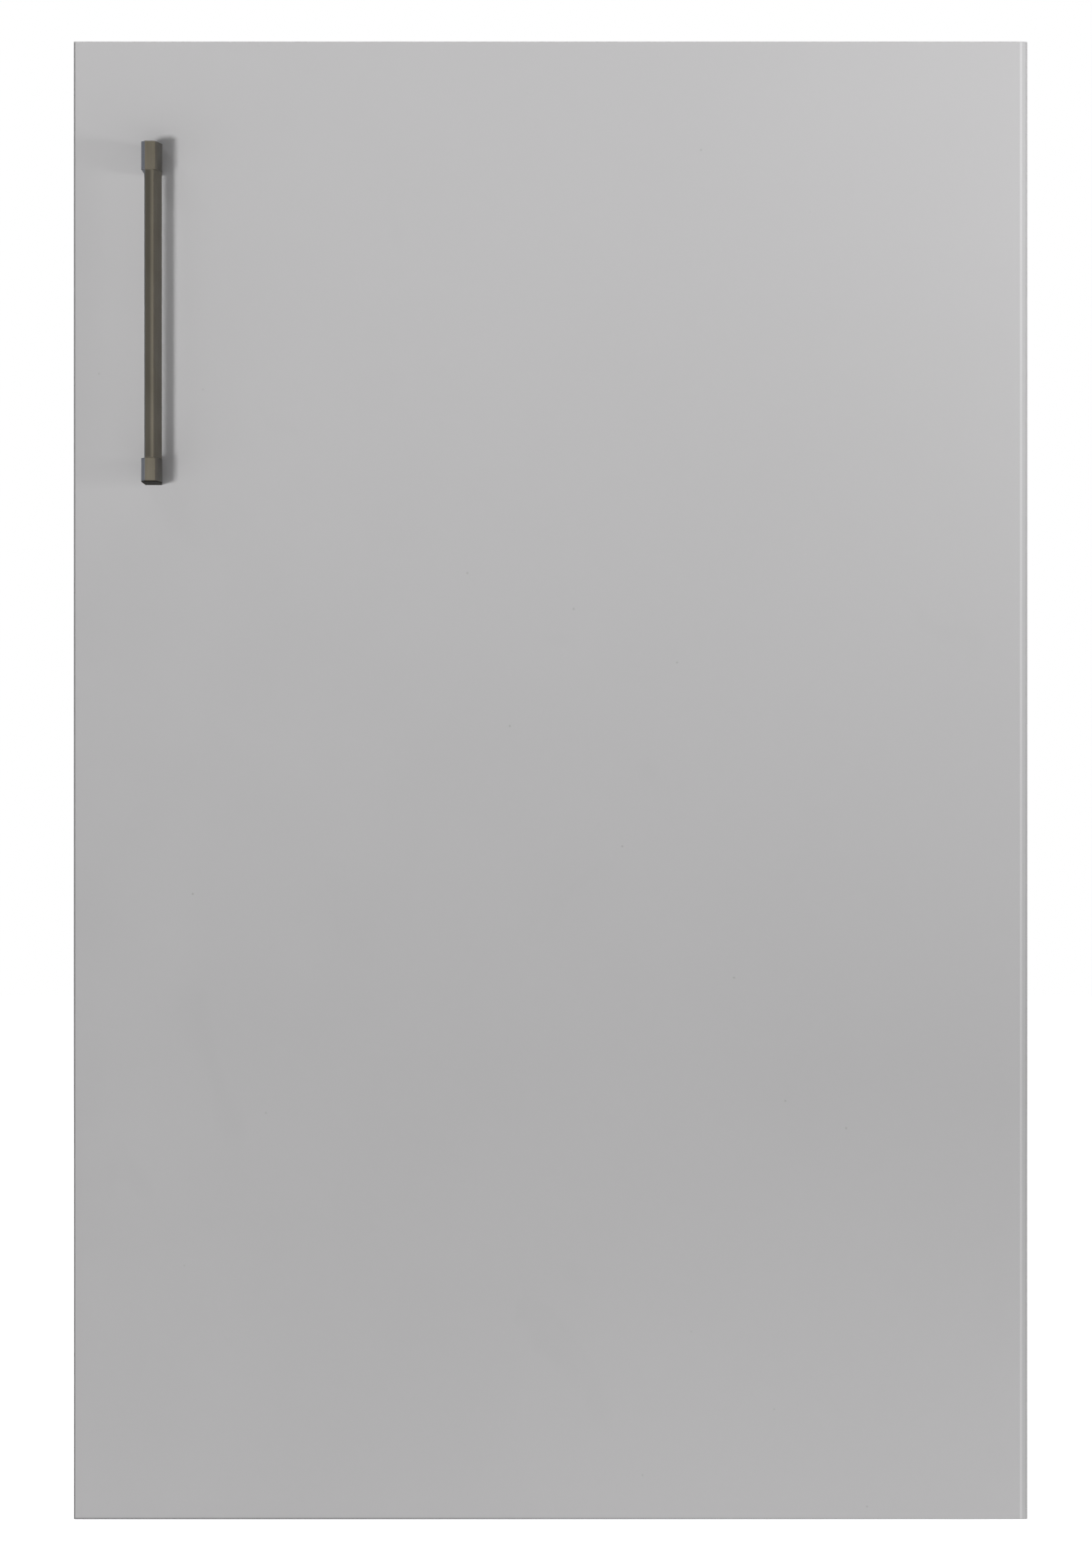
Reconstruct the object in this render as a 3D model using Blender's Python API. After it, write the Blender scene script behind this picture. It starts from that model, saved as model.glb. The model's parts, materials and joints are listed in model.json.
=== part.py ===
"""An undercounter refrigerator with a right-hinged, handle-left steel door.

Metres, +Z up. The front faces -Y and +X is to the right of someone who faces it. The origin is on the floor, under the
middle of the box that holds the whole refrigerator, from the front of the handle to the back of the condenser.
"""

import math

import bmesh
import bpy

# Driving dimensions
DOOR_WIDTH = 0.500
DOOR_HEIGHT = 0.775
DOOR_CLEARANCE = 0.005
OVERALL_DEPTH = 0.590
CABINET_WIDTH = 0.494
HANDLE_PROJECTION = 0.030
INSULATION = 0.033
FLOOR_INSULATION = 0.047
CEILING_INSULATION = 0.052
SHEET = 0.001
LINER_WALL = 0.002
GAP = 0.0003
OVERSHOOT = 0.002

# Depths, front to back
HANDLE_FRONT_Y = -OVERALL_DEPTH / 2
DOOR_FRONT_Y = HANDLE_FRONT_Y + HANDLE_PROJECTION
DOOR_PAN_DEPTH = 0.042
DOOR_REAR_Y = DOOR_FRONT_Y + DOOR_PAN_DEPTH
DOOR_LINER_Y = DOOR_REAR_Y + GAP + LINER_WALL
CABINET_FRONT_Y = -0.2065
CABINET_BACK_Y = 0.265
CONDENSER_BACK_Y = OVERALL_DEPTH / 2

# Heights
DOOR_BOTTOM_Z = DOOR_CLEARANCE
DOOR_TOP_Z = DOOR_BOTTOM_Z + DOOR_HEIGHT
CABINET_BOTTOM_Z = 0.014
CABINET_TOP_Z = DOOR_TOP_Z - 0.002

# Cabinet walls, from the outside in
HALF_WIDTH = CABINET_WIDTH / 2
WALL_INNER_X = HALF_WIDTH - SHEET
FOAM_HALF = WALL_INNER_X - GAP
LINER_OUTER_X = FOAM_HALF - INSULATION
LINER_X = LINER_OUTER_X - LINER_WALL
FOAM_BOTTOM_Z = CABINET_BOTTOM_Z + SHEET + GAP
FOAM_TOP_Z = CABINET_TOP_Z - SHEET - GAP
FOAM_FRONT_Y = CABINET_FRONT_Y + SHEET + GAP
FOAM_BACK_Y = CABINET_BACK_Y - SHEET - GAP
LINER_FLOOR_Z = FOAM_BOTTOM_Z + FLOOR_INSULATION + LINER_WALL
LINER_CEILING_Z = FOAM_TOP_Z - CEILING_INSULATION - LINER_WALL
LINER_BACK_Y = FOAM_BACK_Y - INSULATION - LINER_WALL
LINER_FRONT_Y = CABINET_FRONT_Y + SHEET / 2
RETURN = 0.022
FRONT_RAIL_TOP_Z = LINER_FLOOR_Z - 0.012

# Machine compartment at the lower back, and the step that it makes in the liner
MACHINE_Y = 0.104
MACHINE_TOP_Z = 0.208
STEP_Y = MACHINE_Y - INSULATION - LINER_WALL
STEP_Z = MACHINE_TOP_Z + INSULATION + LINER_WALL

# Door hinge
HINGE_X = 0.236
HINGE_Y = -0.240
HINGE_PIN_RADIUS = 0.0035
HINGE_CLEARANCE = 0.0003
HINGE_PLATE = 0.003
POCKET_HEIGHT = 0.022
HINGE_PLATE_INSET = 0.011

# Door liner ridges and racks
RIDGE_OUTER_X = 0.203
RIDGE_INNER_X = 0.186
RIDGE_Y = -0.185
RIDGE_BOTTOM_Z = LINER_FLOOR_Z + 0.0057
RIDGE_TOP_Z = LINER_CEILING_Z - 0.0057
RIDGE_WIDTH = RIDGE_OUTER_X - RIDGE_INNER_X
RACK_HALF = 0.180
RACK_BACK_Y = DOOR_LINER_Y + 0.0012
RACK_FRONT_Y = -0.125
RACK_WALL = 0.002
RACK_FLOORS = {"lower": 0.088, "middle": 0.405, "upper": 0.590}
RACK_HEIGHTS = {"lower": 0.075, "middle": 0.060, "upper": 0.060}
HOOK_Z = 0.030
LUG_HEIGHT = 0.012
LUG_Y = -0.204
LUG_DEPTH = 0.016

# Gasket
GASKET_X = 0.238
GASKET_BOTTOM_Z = 0.043
GASKET_TOP_Z = 0.743
GASKET_WIDTH = 0.016

# Shelves and crisper
SHELF_FRONT_Y = -0.097
SHELF_BACK_Y = LINER_BACK_Y - 0.015
SHELF_HALF = LINER_X - 0.0015
GLASS = 0.004
RIB_DEPTH = 0.008
RIB_HEIGHT = 0.005
RIB_FRONT_Y = -0.080
RIB_SPACING = 0.080
COVER_Z = STEP_Z + 0.008
SHELF_LEVELS = {"lower": COVER_Z + 2 * RIB_SPACING, "upper": COVER_Z + 4 * RIB_SPACING}
RIB_LEVELS = [COVER_Z + step * RIB_SPACING for step in range(6)]
CRISPER_HALF = LINER_X - 0.008
CRISPER_FRONT_Y = -0.094
CRISPER_BACK_Y = STEP_Y - 0.004
CRISPER_TOP_Z = COVER_Z - 0.018
CRISPER_WALL = 0.002

# Controls
HOUSING_HALF = 0.100
HOUSING_FRONT_Y = -0.172
HOUSING_BACK_Y = -0.060
HOUSING_BOTTOM_Z = LINER_CEILING_Z - 0.040
HOUSING_WALL = 0.002
KNOB_X = -0.045
KNOB_Z = LINER_CEILING_Z - 0.0207
KNOB_RADIUS = 0.014
KNOB_DEPTH = 0.010
SHAFT_RADIUS = 0.003
SWITCH_X = 0.070
SWITCH_Z = RIDGE_TOP_Z - RIDGE_WIDTH / 2
SWITCH_RADIUS = 0.004
LENS_FRONT_Y = -0.128
LENS_BACK_Y = -0.066
LENS_HALF = 0.080

# Handle
HANDLE_TOP_Z = DOOR_TOP_Z - 0.056
HANDLE_LENGTH = 0.176
HANDLE_LEG = 0.0135
HANDLE_SCREW_INSET = 0.008
HANDLE_LEFT_X = -0.2123
HANDLE_BAR_LEFT_X = -0.2099
HANDLE_RIGHT_X = -0.2036
HANDLE_FRONT_RIGHT_X = -0.2048
HANDLE_BLADE_RIGHT_X = -0.2022
HANDLE_BLADE_DEPTH = 0.013

# Machine compartment pieces
TRAY_Z = 0.024
TRAY_SHEET = 0.0015
COMPRESSOR_X = 0.045
COMPRESSOR_Y = 0.190
GROMMET_X = 0.080
GROMMET_Y = 0.050
GROMMET_HEIGHT = 0.014
COMPRESSOR_BASE_Z = TRAY_Z + 0.002 + GROMMET_HEIGHT * 0.5
COMPRESSOR_HEIGHT = 0.140
TUBE_RADIUS = 0.0024
CONDENSER_TUBE_Y = 0.2903
CONDENSER_HALF = 0.176
CONDENSER_LOW_Z = 0.262
CONDENSER_PITCH = 0.042
CONDENSER_PASSES = 12
WIRE_FRONT_Y = CONDENSER_TUBE_Y + TUBE_RADIUS + GAP
WIRE_WIDTH = 0.0016
WIRE_COUNT = 25

# Refrigerant lines
LINE_BEND = 0.006
COMPRESSOR_RADIUS = 0.066
COMPRESSOR_STRETCH = 1.22
COMPRESSOR_HALF_X = COMPRESSOR_RADIUS * COMPRESSOR_STRETCH
DISCHARGE_X = -0.192
DISCHARGE_Y = 0.277
SUCTION_X = -0.110
SUCTION_Y = 0.247
SUCTION_TOP_Z = 0.362
SUCTION_RADIUS = 0.0031
RISE_X = -0.184
DRIER_PLACE = (-0.150, 0.225)
DRIER_BASE_Z = 0.060
DRIER_LENGTH = 0.100

# Feet
FOOT_X = 0.215
FRONT_FOOT_Y = -0.165
REAR_FOOT_Y = 0.235
FOOT_RADIUS = 0.016
FOOT_STEM_RADIUS = 0.004


def clear_scene():
    for old in list(bpy.data.objects):
        bpy.data.objects.remove(old)


def material(name, colour, roughness, metallic=0.0, alpha=1.0):
    made = bpy.data.materials.new(name)
    made.use_nodes = True
    shader = made.node_tree.nodes["Principled BSDF"]
    shader.inputs["Base Color"].default_value = (*colour, 1.0)
    shader.inputs["Roughness"].default_value = roughness
    shader.inputs["Metallic"].default_value = metallic
    shader.inputs["Alpha"].default_value = alpha
    return made


def add_object(name, bm, finish, origin=(0.0, 0.0, 0.0)):
    """An object made of bm, which is in world space, with its own origin at the given point."""
    bmesh.ops.recalc_face_normals(bm, faces=bm.faces)
    bmesh.ops.translate(bm, verts=bm.verts, vec=[-value for value in origin])
    mesh = bpy.data.meshes.new(name)
    bm.to_mesh(mesh)
    bm.free()
    if finish is not None:
        mesh.materials.append(finish)
    made = bpy.data.objects.new(name, mesh)
    made.location = origin
    bpy.context.scene.collection.objects.link(made)
    return made


def smooth(obj, angle=math.radians(35)):
    obj.data.shade_smooth()
    obj.data.set_sharp_from_angle(angle=angle)
    return obj


def bevel(obj, width, segments=2):
    made = obj.modifiers.new("Bevel", "BEVEL")
    made.width = width
    made.segments = segments
    made.limit_method = "ANGLE"
    made.angle_limit = math.radians(50)
    return obj


def box_mesh(low, high):
    bm = bmesh.new()
    bmesh.ops.create_cube(bm, size=1.0)
    for vert in bm.verts:
        for axis in range(3):
            vert.co[axis] = low[axis] if vert.co[axis] < 0 else high[axis]
    return bm


def box(name, low, high, finish, origin=(0.0, 0.0, 0.0)):
    return add_object(name, box_mesh(low, high), finish, origin)


def place(axis, first, second, along):
    """A point from two coordinates across an axis and one along it."""
    if axis == "X":
        return (along, first, second)
    if axis == "Y":
        return (first, along, second)
    return (first, second, along)


def prism(name, outline, axis, start, end, finish, origin=(0.0, 0.0, 0.0)):
    """A straight solid whose outline, in the two axes across the given one, runs from start to end."""
    bm = bmesh.new()
    rings = [[bm.verts.new(place(axis, a, b, along)) for a, b in outline] for along in (start, end)]
    bm.faces.new(rings[0])
    bm.faces.new(rings[1])
    for index in range(len(outline)):
        following = (index + 1) % len(outline)
        bm.faces.new((rings[0][index], rings[0][following], rings[1][following], rings[1][index]))
    return add_object(name, bm, finish, origin)


def lathe(name, profile, centre, axis, finish, sides=24, origin=(0.0, 0.0, 0.0), stretch=(1.0, 1.0)):
    """A closed turned solid. The profile's points are (radius, place along the axis), first and last on the axis."""
    bm = bmesh.new()
    rings = []
    for radius, along in profile:
        if radius == 0:
            rings.append([bm.verts.new(place(axis, 0, 0, along))])
            continue
        ring = []
        for side in range(sides):
            angle = 2 * math.pi * side / sides
            across = (radius * math.cos(angle) * stretch[0], radius * math.sin(angle) * stretch[1])
            ring.append(bm.verts.new(place(axis, *across, along)))
        rings.append(ring)
    for first, second in zip(rings, rings[1:]):
        for side in range(sides):
            following = (side + 1) % sides
            corners = [first[side % len(first)], first[following % len(first)]]
            corners += [second[following % len(second)], second[side % len(second)]]
            bm.faces.new(list(dict.fromkeys(corners)))
    bmesh.ops.translate(bm, verts=bm.verts, vec=centre)
    return smooth(add_object(name, bm, finish, origin))


def ring_lathe(name, profile, centre, axis, finish, sides=24, origin=(0.0, 0.0, 0.0)):
    """A turned ring: the profile is a closed loop of (radius, place along the axis) that stays off the axis."""
    bm = bmesh.new()
    rings = []
    for radius, along in profile:
        angles = [2 * math.pi * side / sides for side in range(sides)]
        rings.append([bm.verts.new(place(axis, radius * math.cos(a), radius * math.sin(a), along)) for a in angles])
    for first, second in zip(rings, rings[1:] + rings[:1]):
        for side in range(sides):
            following = (side + 1) % sides
            bm.faces.new((first[side], first[following], second[following], second[side]))
    bmesh.ops.translate(bm, verts=bm.verts, vec=centre)
    return smooth(add_object(name, bm, finish, origin))


def tube(name, points, radius, finish, sides=2):
    """A round tube through points, as a curve with filled ends."""
    data = bpy.data.curves.new(name, "CURVE")
    data.dimensions = "3D"
    data.bevel_depth = radius
    data.bevel_resolution = sides
    data.use_fill_caps = True
    spline = data.splines.new("POLY")
    spline.points.add(len(points) - 1)
    for spot, point in zip(spline.points, points):
        spot.co = (*point, 1.0)
    data.materials.append(finish)
    made = bpy.data.objects.new(name, data)
    bpy.context.scene.collection.objects.link(made)
    return made


def rounded_route(corners, radius, steps=4):
    """The route through the corners with each bend as an arc of the given radius."""
    route = [corners[0]]
    for before, corner, after in zip(corners, corners[1:], corners[2:]):
        into = [c - b for b, c in zip(before, corner)]
        out = [a - c for c, a in zip(corner, after)]
        length_in = math.sqrt(sum(value * value for value in into))
        length_out = math.sqrt(sum(value * value for value in out))
        into = [value / length_in for value in into]
        out = [value / length_out for value in out]
        turn = math.acos(max(-1.0, min(1.0, sum(a * b for a, b in zip(into, out)))))
        reach = radius * math.tan(turn / 2)
        start = [c - reach * d for c, d in zip(corner, into)]
        for step in range(steps + 1):
            angle = turn * step / steps
            forward = radius * math.sin(angle)
            sideways = radius * (1 - math.cos(angle))
            inward = [(o - i * math.cos(turn)) / math.sin(turn) for i, o in zip(into, out)]
            route.append(tuple(s + forward * i + sideways * n for s, i, n in zip(start, into, inward)))
    route.append(corners[-1])
    return route


def boolean(obj, other, operation):
    other.hide_render = True
    other.display_type = "WIRE"
    made = obj.modifiers.new(operation.title(), "BOOLEAN")
    made.operation = operation
    made.solver = "EXACT"
    made.object = other
    return obj


def cut(obj, *cutters):
    for cutter in cutters:
        boolean(obj, cutter, "DIFFERENCE")
    return obj


def fuse(obj, *others):
    for other in others:
        boolean(obj, other, "UNION")
    return obj


def rod_cutter(name, centre, axis, radius, start, end, sides=24):
    return lathe(name, [(0, start), (radius, start), (radius, end), (0, end)], centre, axis, None, sides)


def box_ring(name, outer_low, outer_high, inner_low, inner_high, front_y, back_y, finish):
    """A rectangular ring in the XZ plane, from front_y to back_y."""
    bm = bmesh.new()
    loops = []
    for along in (front_y, back_y):
        for low, high in ((outer_low, outer_high), (inner_low, inner_high)):
            corners = [(low[0], low[1]), (high[0], low[1]), (high[0], high[1]), (low[0], high[1])]
            loops.append([bm.verts.new((x, along, z)) for x, z in corners])
    for first, second in ((0, 1), (2, 3), (0, 2), (1, 3)):
        for side in range(4):
            following = (side + 1) % 4
            bm.faces.new((loops[first][side], loops[first][following], loops[second][following], loops[second][side]))
    return add_object(name, bm, finish)


# Cabinet


def side_panel(name, side, finish):
    """A folded sheet: the wall, a return behind the gasket and a return behind the back panel."""
    outer = side * HALF_WIDTH
    inner = side * WALL_INNER_X
    front_lip = side * (HALF_WIDTH - RETURN)
    back_lip = side * (HALF_WIDTH - 0.014)
    outline = [
        (outer, CABINET_FRONT_Y),
        (outer, CABINET_BACK_Y),
        (back_lip, CABINET_BACK_Y),
        (back_lip, CABINET_BACK_Y - SHEET),
        (inner, CABINET_BACK_Y - SHEET),
        (inner, CABINET_FRONT_Y + SHEET),
        (front_lip, CABINET_FRONT_Y + SHEET),
        (front_lip, CABINET_FRONT_Y),
    ]
    return prism(name, outline, "Z", CABINET_BOTTOM_Z, CABINET_TOP_Z - SHEET - GAP, finish)


def top_panel(finish):
    lip = HALF_WIDTH - RETURN - GAP
    plate_low = (-HALF_WIDTH, CABINET_FRONT_Y, CABINET_TOP_Z - SHEET)
    plate = box("top_panel", plate_low, (HALF_WIDTH, CABINET_BACK_Y, CABINET_TOP_Z), finish)
    lip_low = (-lip, CABINET_FRONT_Y, CABINET_TOP_Z - RETURN)
    front_lip = box("top_lip", lip_low, (lip, CABINET_FRONT_Y + SHEET, CABINET_TOP_Z - SHEET / 2), None)
    return fuse(plate, front_lip)


def back_panel(finish):
    """A folded sheet: down the back, in under the foam as the machine compartment's roof, and down its front wall."""
    outer = CABINET_BACK_Y + GAP + SHEET
    inner = CABINET_BACK_Y + GAP
    roof_top = MACHINE_TOP_Z - GAP
    roof_bottom = roof_top - SHEET
    wall_front = MACHINE_Y + GAP
    wall_foot = TRAY_Z + TRAY_SHEET + GAP
    outline = [
        (outer, CABINET_TOP_Z - SHEET),
        (inner, CABINET_TOP_Z - SHEET),
        (inner, roof_top),
        (wall_front, roof_top),
        (wall_front, wall_foot),
        (wall_front + SHEET, wall_foot),
        (wall_front + SHEET, roof_bottom),
        (outer, roof_bottom),
    ]
    half = HALF_WIDTH - 0.014 - GAP
    panel = prism("back_panel", outline, "X", -half, half, finish)
    drain = rod_cutter(
        "roof_drain_hole", (0, LINER_BACK_Y - 0.010, 0), "Z", 0.0083, roof_bottom - 0.005, roof_top + 0.005, 16
    )
    line = rod_cutter(
        "roof_line_hole", (SUCTION_X, SUCTION_Y, 0), "Z", SUCTION_RADIUS + 0.0012, roof_bottom - 0.005, roof_top + 0.005, 16
    )
    return cut(panel, drain, line)


def foot_holes(radius, low, high, places):
    return [
        rod_cutter(f"foot_hole_{index}", (x, y, 0), "Z", radius, low, high)
        for index, (x, y) in enumerate(places)
    ]


def base_plate(finish):
    low = (-WALL_INNER_X + GAP, CABINET_FRONT_Y + SHEET + GAP, CABINET_BOTTOM_Z)
    plate = box("base_plate", low, (WALL_INNER_X - GAP, MACHINE_Y, CABINET_BOTTOM_Z + SHEET), finish)
    places = [(side * FOOT_X, FRONT_FOOT_Y) for side in (-1, 1)]
    return cut(plate, *foot_holes(FOOT_STEM_RADIUS + 0.0005, 0.0, 0.05, places))


def front_rail(finish):
    lip = HALF_WIDTH - RETURN - GAP
    top = FRONT_RAIL_TOP_Z
    outline = [
        (CABINET_FRONT_Y, CABINET_BOTTOM_Z),
        (CABINET_FRONT_Y + SHEET, CABINET_BOTTOM_Z),
        (CABINET_FRONT_Y + SHEET, top),
        (CABINET_FRONT_Y, top),
    ]
    return prism("front_rail", outline, "X", -lip, lip, finish)


def cavity_outline(grow, front):
    """The cool space seen from the side, grown outwards by grow."""
    return [
        (front, LINER_FLOOR_Z - grow),
        (STEP_Y + grow, LINER_FLOOR_Z - grow),
        (STEP_Y + grow, STEP_Z - grow),
        (LINER_BACK_Y + grow, STEP_Z - grow),
        (LINER_BACK_Y + grow, LINER_CEILING_Z + grow),
        (front, LINER_CEILING_Z + grow),
    ]


def cabinet_liner(finish):
    """The moulded inner shell, with a flat flange out to the steel that the gasket bears on, and shelf ribs."""
    shell = prism(
        "cabinet_liner", cavity_outline(LINER_WALL, LINER_FRONT_Y), "X", -LINER_OUTER_X, LINER_OUTER_X, finish
    )
    flange_half = HALF_WIDTH - RETURN - GAP
    flange = box(
        "liner_flange",
        (-flange_half, CABINET_FRONT_Y, FRONT_RAIL_TOP_Z + GAP),
        (flange_half, CABINET_FRONT_Y + SHEET, CABINET_TOP_Z - RETURN - GAP),
        None,
    )
    cavity = prism(
        "liner_cavity", cavity_outline(0.0, CABINET_FRONT_Y - OVERSHOOT), "X", -LINER_X, LINER_X, None
    )
    fuse(shell, flange)
    cut(shell, cavity)
    for side in (-1, 1):
        for index, level in enumerate(RIB_LEVELS):
            outer = side * (LINER_X + LINER_WALL / 2)
            inner = side * (LINER_X - RIB_DEPTH)
            low = (min(outer, inner), RIB_FRONT_Y, level - RIB_HEIGHT)
            high = (max(outer, inner), LINER_BACK_Y - 0.020, level)
            fuse(shell, box(f"liner_rib_{side}_{index}", low, high, None))
    drain = rod_cutter("drain_hole", (0, LINER_BACK_Y - 0.010, 0), "Z", 0.005, STEP_Z - 0.010, STEP_Z + 0.010, 16)
    return cut(shell, drain)


def cabinet_foam(finish):
    outline = [
        (FOAM_FRONT_Y, FOAM_BOTTOM_Z),
        (MACHINE_Y, FOAM_BOTTOM_Z),
        (MACHINE_Y, MACHINE_TOP_Z),
        (FOAM_BACK_Y, MACHINE_TOP_Z),
        (FOAM_BACK_Y, FOAM_TOP_Z),
        (FOAM_FRONT_Y, FOAM_TOP_Z),
    ]
    foam = prism("cabinet_foam", outline, "X", -FOAM_HALF, FOAM_HALF, finish)
    hollow = prism(
        "foam_hollow",
        cavity_outline(LINER_WALL + GAP, FOAM_FRONT_Y - OVERSHOOT),
        "X",
        -LINER_OUTER_X - GAP,
        LINER_OUTER_X + GAP,
        None,
    )
    low, high = evaporator_box()
    pocket = box(
        "evaporator_pocket",
        (low[0] - GAP, low[1] - 0.004, low[2] - GAP),
        (high[0] + GAP, high[1] + GAP, high[2] + GAP),
        None,
    )
    cut(foam, hollow, pocket)
    drain = rod_cutter(
        "foam_drain", (0, LINER_BACK_Y - 0.010, 0), "Z", 0.0083, MACHINE_TOP_Z - 0.01, STEP_Z + 0.01, 16
    )
    line_bore = SUCTION_RADIUS + 0.0012
    riser = rod_cutter("suction_riser", (SUCTION_X, SUCTION_Y, 0), "Z", line_bore, MACHINE_TOP_Z - 0.01, SUCTION_TOP_Z)
    elbow = rod_cutter(
        "suction_elbow", (SUCTION_X, 0, SUCTION_TOP_Z - 0.001), "Y", line_bore + 0.001, high[1], SUCTION_Y + line_bore
    )
    places = [(side * FOOT_X, FRONT_FOOT_Y) for side in (-1, 1)]
    return cut(foam, drain, riser, elbow, *foot_holes(0.006, 0.0, 0.036, places))


def evaporator_box():
    front = LINER_BACK_Y + LINER_WALL + GAP
    return (-0.150, front, STEP_Z + 0.080), (0.150, front + 0.002, LINER_CEILING_Z - 0.080)


def evaporator_plate(finish):
    return box("evaporator_plate", *evaporator_box(), finish)


def drain_tube(finish):
    top = STEP_Z - LINER_WALL - GAP
    bottom = MACHINE_TOP_Z - 0.012
    profile = [(0.0055, bottom), (0.0075, bottom), (0.0075, top), (0.0055, top)]
    return ring_lathe("drain_tube", profile, (0, LINER_BACK_Y - 0.010, 0), "Z", finish, 16)


def hinge_bracket(name, plate_z, wall_low, wall_high, finish):
    """A bent plate: a flat tongue that carries the pin and a wall screwed to the cabinet's front."""
    back = CABINET_FRONT_Y - GAP
    wall_front = back - HINGE_PLATE
    wall = box(name, (0.200, wall_front, wall_low), (HALF_WIDTH, back, wall_high), finish)
    half = 0.010
    outline = [(HINGE_X + half, back - HINGE_PLATE / 2), (HINGE_X - half - 0.012, back - HINGE_PLATE / 2)]
    outline += [(HINGE_X - half, HINGE_Y + 0.010)]
    for step in range(7):
        angle = math.pi + math.pi * step / 6
        outline.append((HINGE_X + half * math.cos(angle), HINGE_Y + half * math.sin(angle)))
    tongue = prism(f"{name}_tongue", outline, "Z", plate_z, plate_z + HINGE_PLATE, None)
    fuse(wall, tongue)
    hole = rod_cutter(
        f"{name}_hole", (HINGE_X, HINGE_Y, 0), "Z", HINGE_PIN_RADIUS + GAP, plate_z - 0.005, plate_z + 0.008, 16
    )
    screws = [
        rod_cutter(f"{name}_screw_{index}", (x, 0, (wall_low + wall_high) / 2), "Y", 0.0022, back - 0.01, back + 0.01, 12)
        for index, x in enumerate((0.207, 0.222))
    ]
    return cut(wall, hole, *screws)


def hinge_pin(name, low, high, head_low, head_high, finish):
    """A shouldered pin: a head outside the bracket's tongue and a shank in the door's bush."""
    radius = HINGE_PIN_RADIUS
    head = 0.0055
    if head_low < low:
        profile = [(0, head_low), (head, head_low), (head, head_high), (radius, head_high), (radius, high), (0, high)]
    else:
        profile = [(0, low), (radius, low), (radius, head_low), (head, head_low), (head, head_high), (0, head_high)]
    return lathe(name, profile, (HINGE_X, HINGE_Y, 0), "Z", finish, 24)


def levelling_foot(name, x, y, stem_top, finish):
    """A screw-in foot: a round pad with a chamfered rim and a stem."""
    radius = FOOT_RADIUS
    profile = [
        (0, 0),
        (radius - 0.0015, 0),
        (radius, 0.0015),
        (radius, 0.006),
        (radius - 0.004, 0.010),
        (FOOT_STEM_RADIUS, 0.010),
        (FOOT_STEM_RADIUS, stem_top),
        (0, stem_top),
    ]
    return lathe(name, profile, (x, y, 0), "Z", finish, 24, (x, y, 0))


# Cold side furniture


def shelf(name, level, finish_glass):
    low = (-SHELF_HALF, SHELF_FRONT_Y + 0.004, level + GAP)
    return box(name, low, (SHELF_HALF, SHELF_BACK_Y, level + GAP + GLASS), finish_glass)


def shelf_trim(name, level, finish):
    """A clip-on profile along the glass's front edge, with a raised lip."""
    front = SHELF_FRONT_Y
    slot = front + 0.004 - GAP
    back = front + 0.014
    glass_low = level
    glass_high = level + 2 * GAP + GLASS
    outline = [
        (front, level - 0.006),
        (back, level - 0.002),
        (back, glass_low),
        (slot, glass_low),
        (slot, glass_high),
        (back, glass_high),
        (back, glass_high + 0.002),
        (front + 0.002, glass_high + 0.005),
        (front, glass_high + 0.004),
    ]
    return prism(name, outline, "X", -SHELF_HALF, SHELF_HALF, finish)


def open_tray(name, low, high, wall, finish, origin):
    tray = box(name, low, high, finish, origin)
    inner_low = (low[0] + wall, low[1] + wall, low[2] + wall)
    inner_high = (high[0] - wall, high[1] - wall, high[2] + OVERSHOOT)
    return cut(tray, box(f"{name}_inside", inner_low, inner_high, None))


def crisper_drawer(finish):
    low = (-CRISPER_HALF, CRISPER_FRONT_Y, LINER_FLOOR_Z + GAP)
    high = (CRISPER_HALF, CRISPER_BACK_Y, CRISPER_TOP_Z)
    drawer = open_tray("crisper_drawer", low, high, CRISPER_WALL, finish, (0, CRISPER_FRONT_Y, low[2]))
    grip_low = (-0.070, CRISPER_FRONT_Y - 0.012, CRISPER_TOP_Z - 0.022)
    grip_high = (0.070, CRISPER_FRONT_Y + CRISPER_WALL / 2, CRISPER_TOP_Z - 0.019)
    return fuse(drawer, box("crisper_grip", grip_low, grip_high, None))


def control_housing(finish):
    low = (-HOUSING_HALF, HOUSING_FRONT_Y, HOUSING_BOTTOM_Z)
    high = (HOUSING_HALF, HOUSING_BACK_Y, LINER_CEILING_Z - GAP)
    wall = HOUSING_WALL
    housing = box("control_housing", low, high, finish)
    inside = box(
        "housing_inside",
        (low[0] + wall, low[1] + wall, low[2] + wall),
        (high[0] - wall, high[1] - wall, high[2] + OVERSHOOT),
        None,
    )
    window = box(
        "housing_window",
        (-LENS_HALF, LENS_FRONT_Y, low[2] - OVERSHOOT),
        (LENS_HALF, LENS_BACK_Y, low[2] + 2 * wall),
        None,
    )
    shaft_hole = rod_cutter(
        "shaft_hole", (KNOB_X, 0, KNOB_Z), "Y", SHAFT_RADIUS + GAP, HOUSING_FRONT_Y - 0.01, HOUSING_FRONT_Y + 0.01
    )
    switch_hole = rod_cutter(
        "switch_hole", (SWITCH_X, 0, SWITCH_Z), "Y", SWITCH_RADIUS + GAP, HOUSING_FRONT_Y - 0.01, HOUSING_FRONT_Y + 0.01
    )
    return cut(housing, inside, window, shaft_hole, switch_hole)


def lamp_lens(finish):
    low = (-LENS_HALF + GAP, LENS_FRONT_Y + GAP, HOUSING_BOTTOM_Z - 0.002)
    high = (LENS_HALF - GAP, LENS_BACK_Y - GAP, HOUSING_BOTTOM_Z + 0.006)
    wall = 0.0015
    lens = box("lamp_lens", low, high, finish)
    inside = box(
        "lens_inside",
        (low[0] + wall, low[1] + wall, low[2] + wall),
        (high[0] - wall, high[1] - wall, high[2] + OVERSHOOT),
        None,
    )
    return cut(lens, inside)


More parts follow.
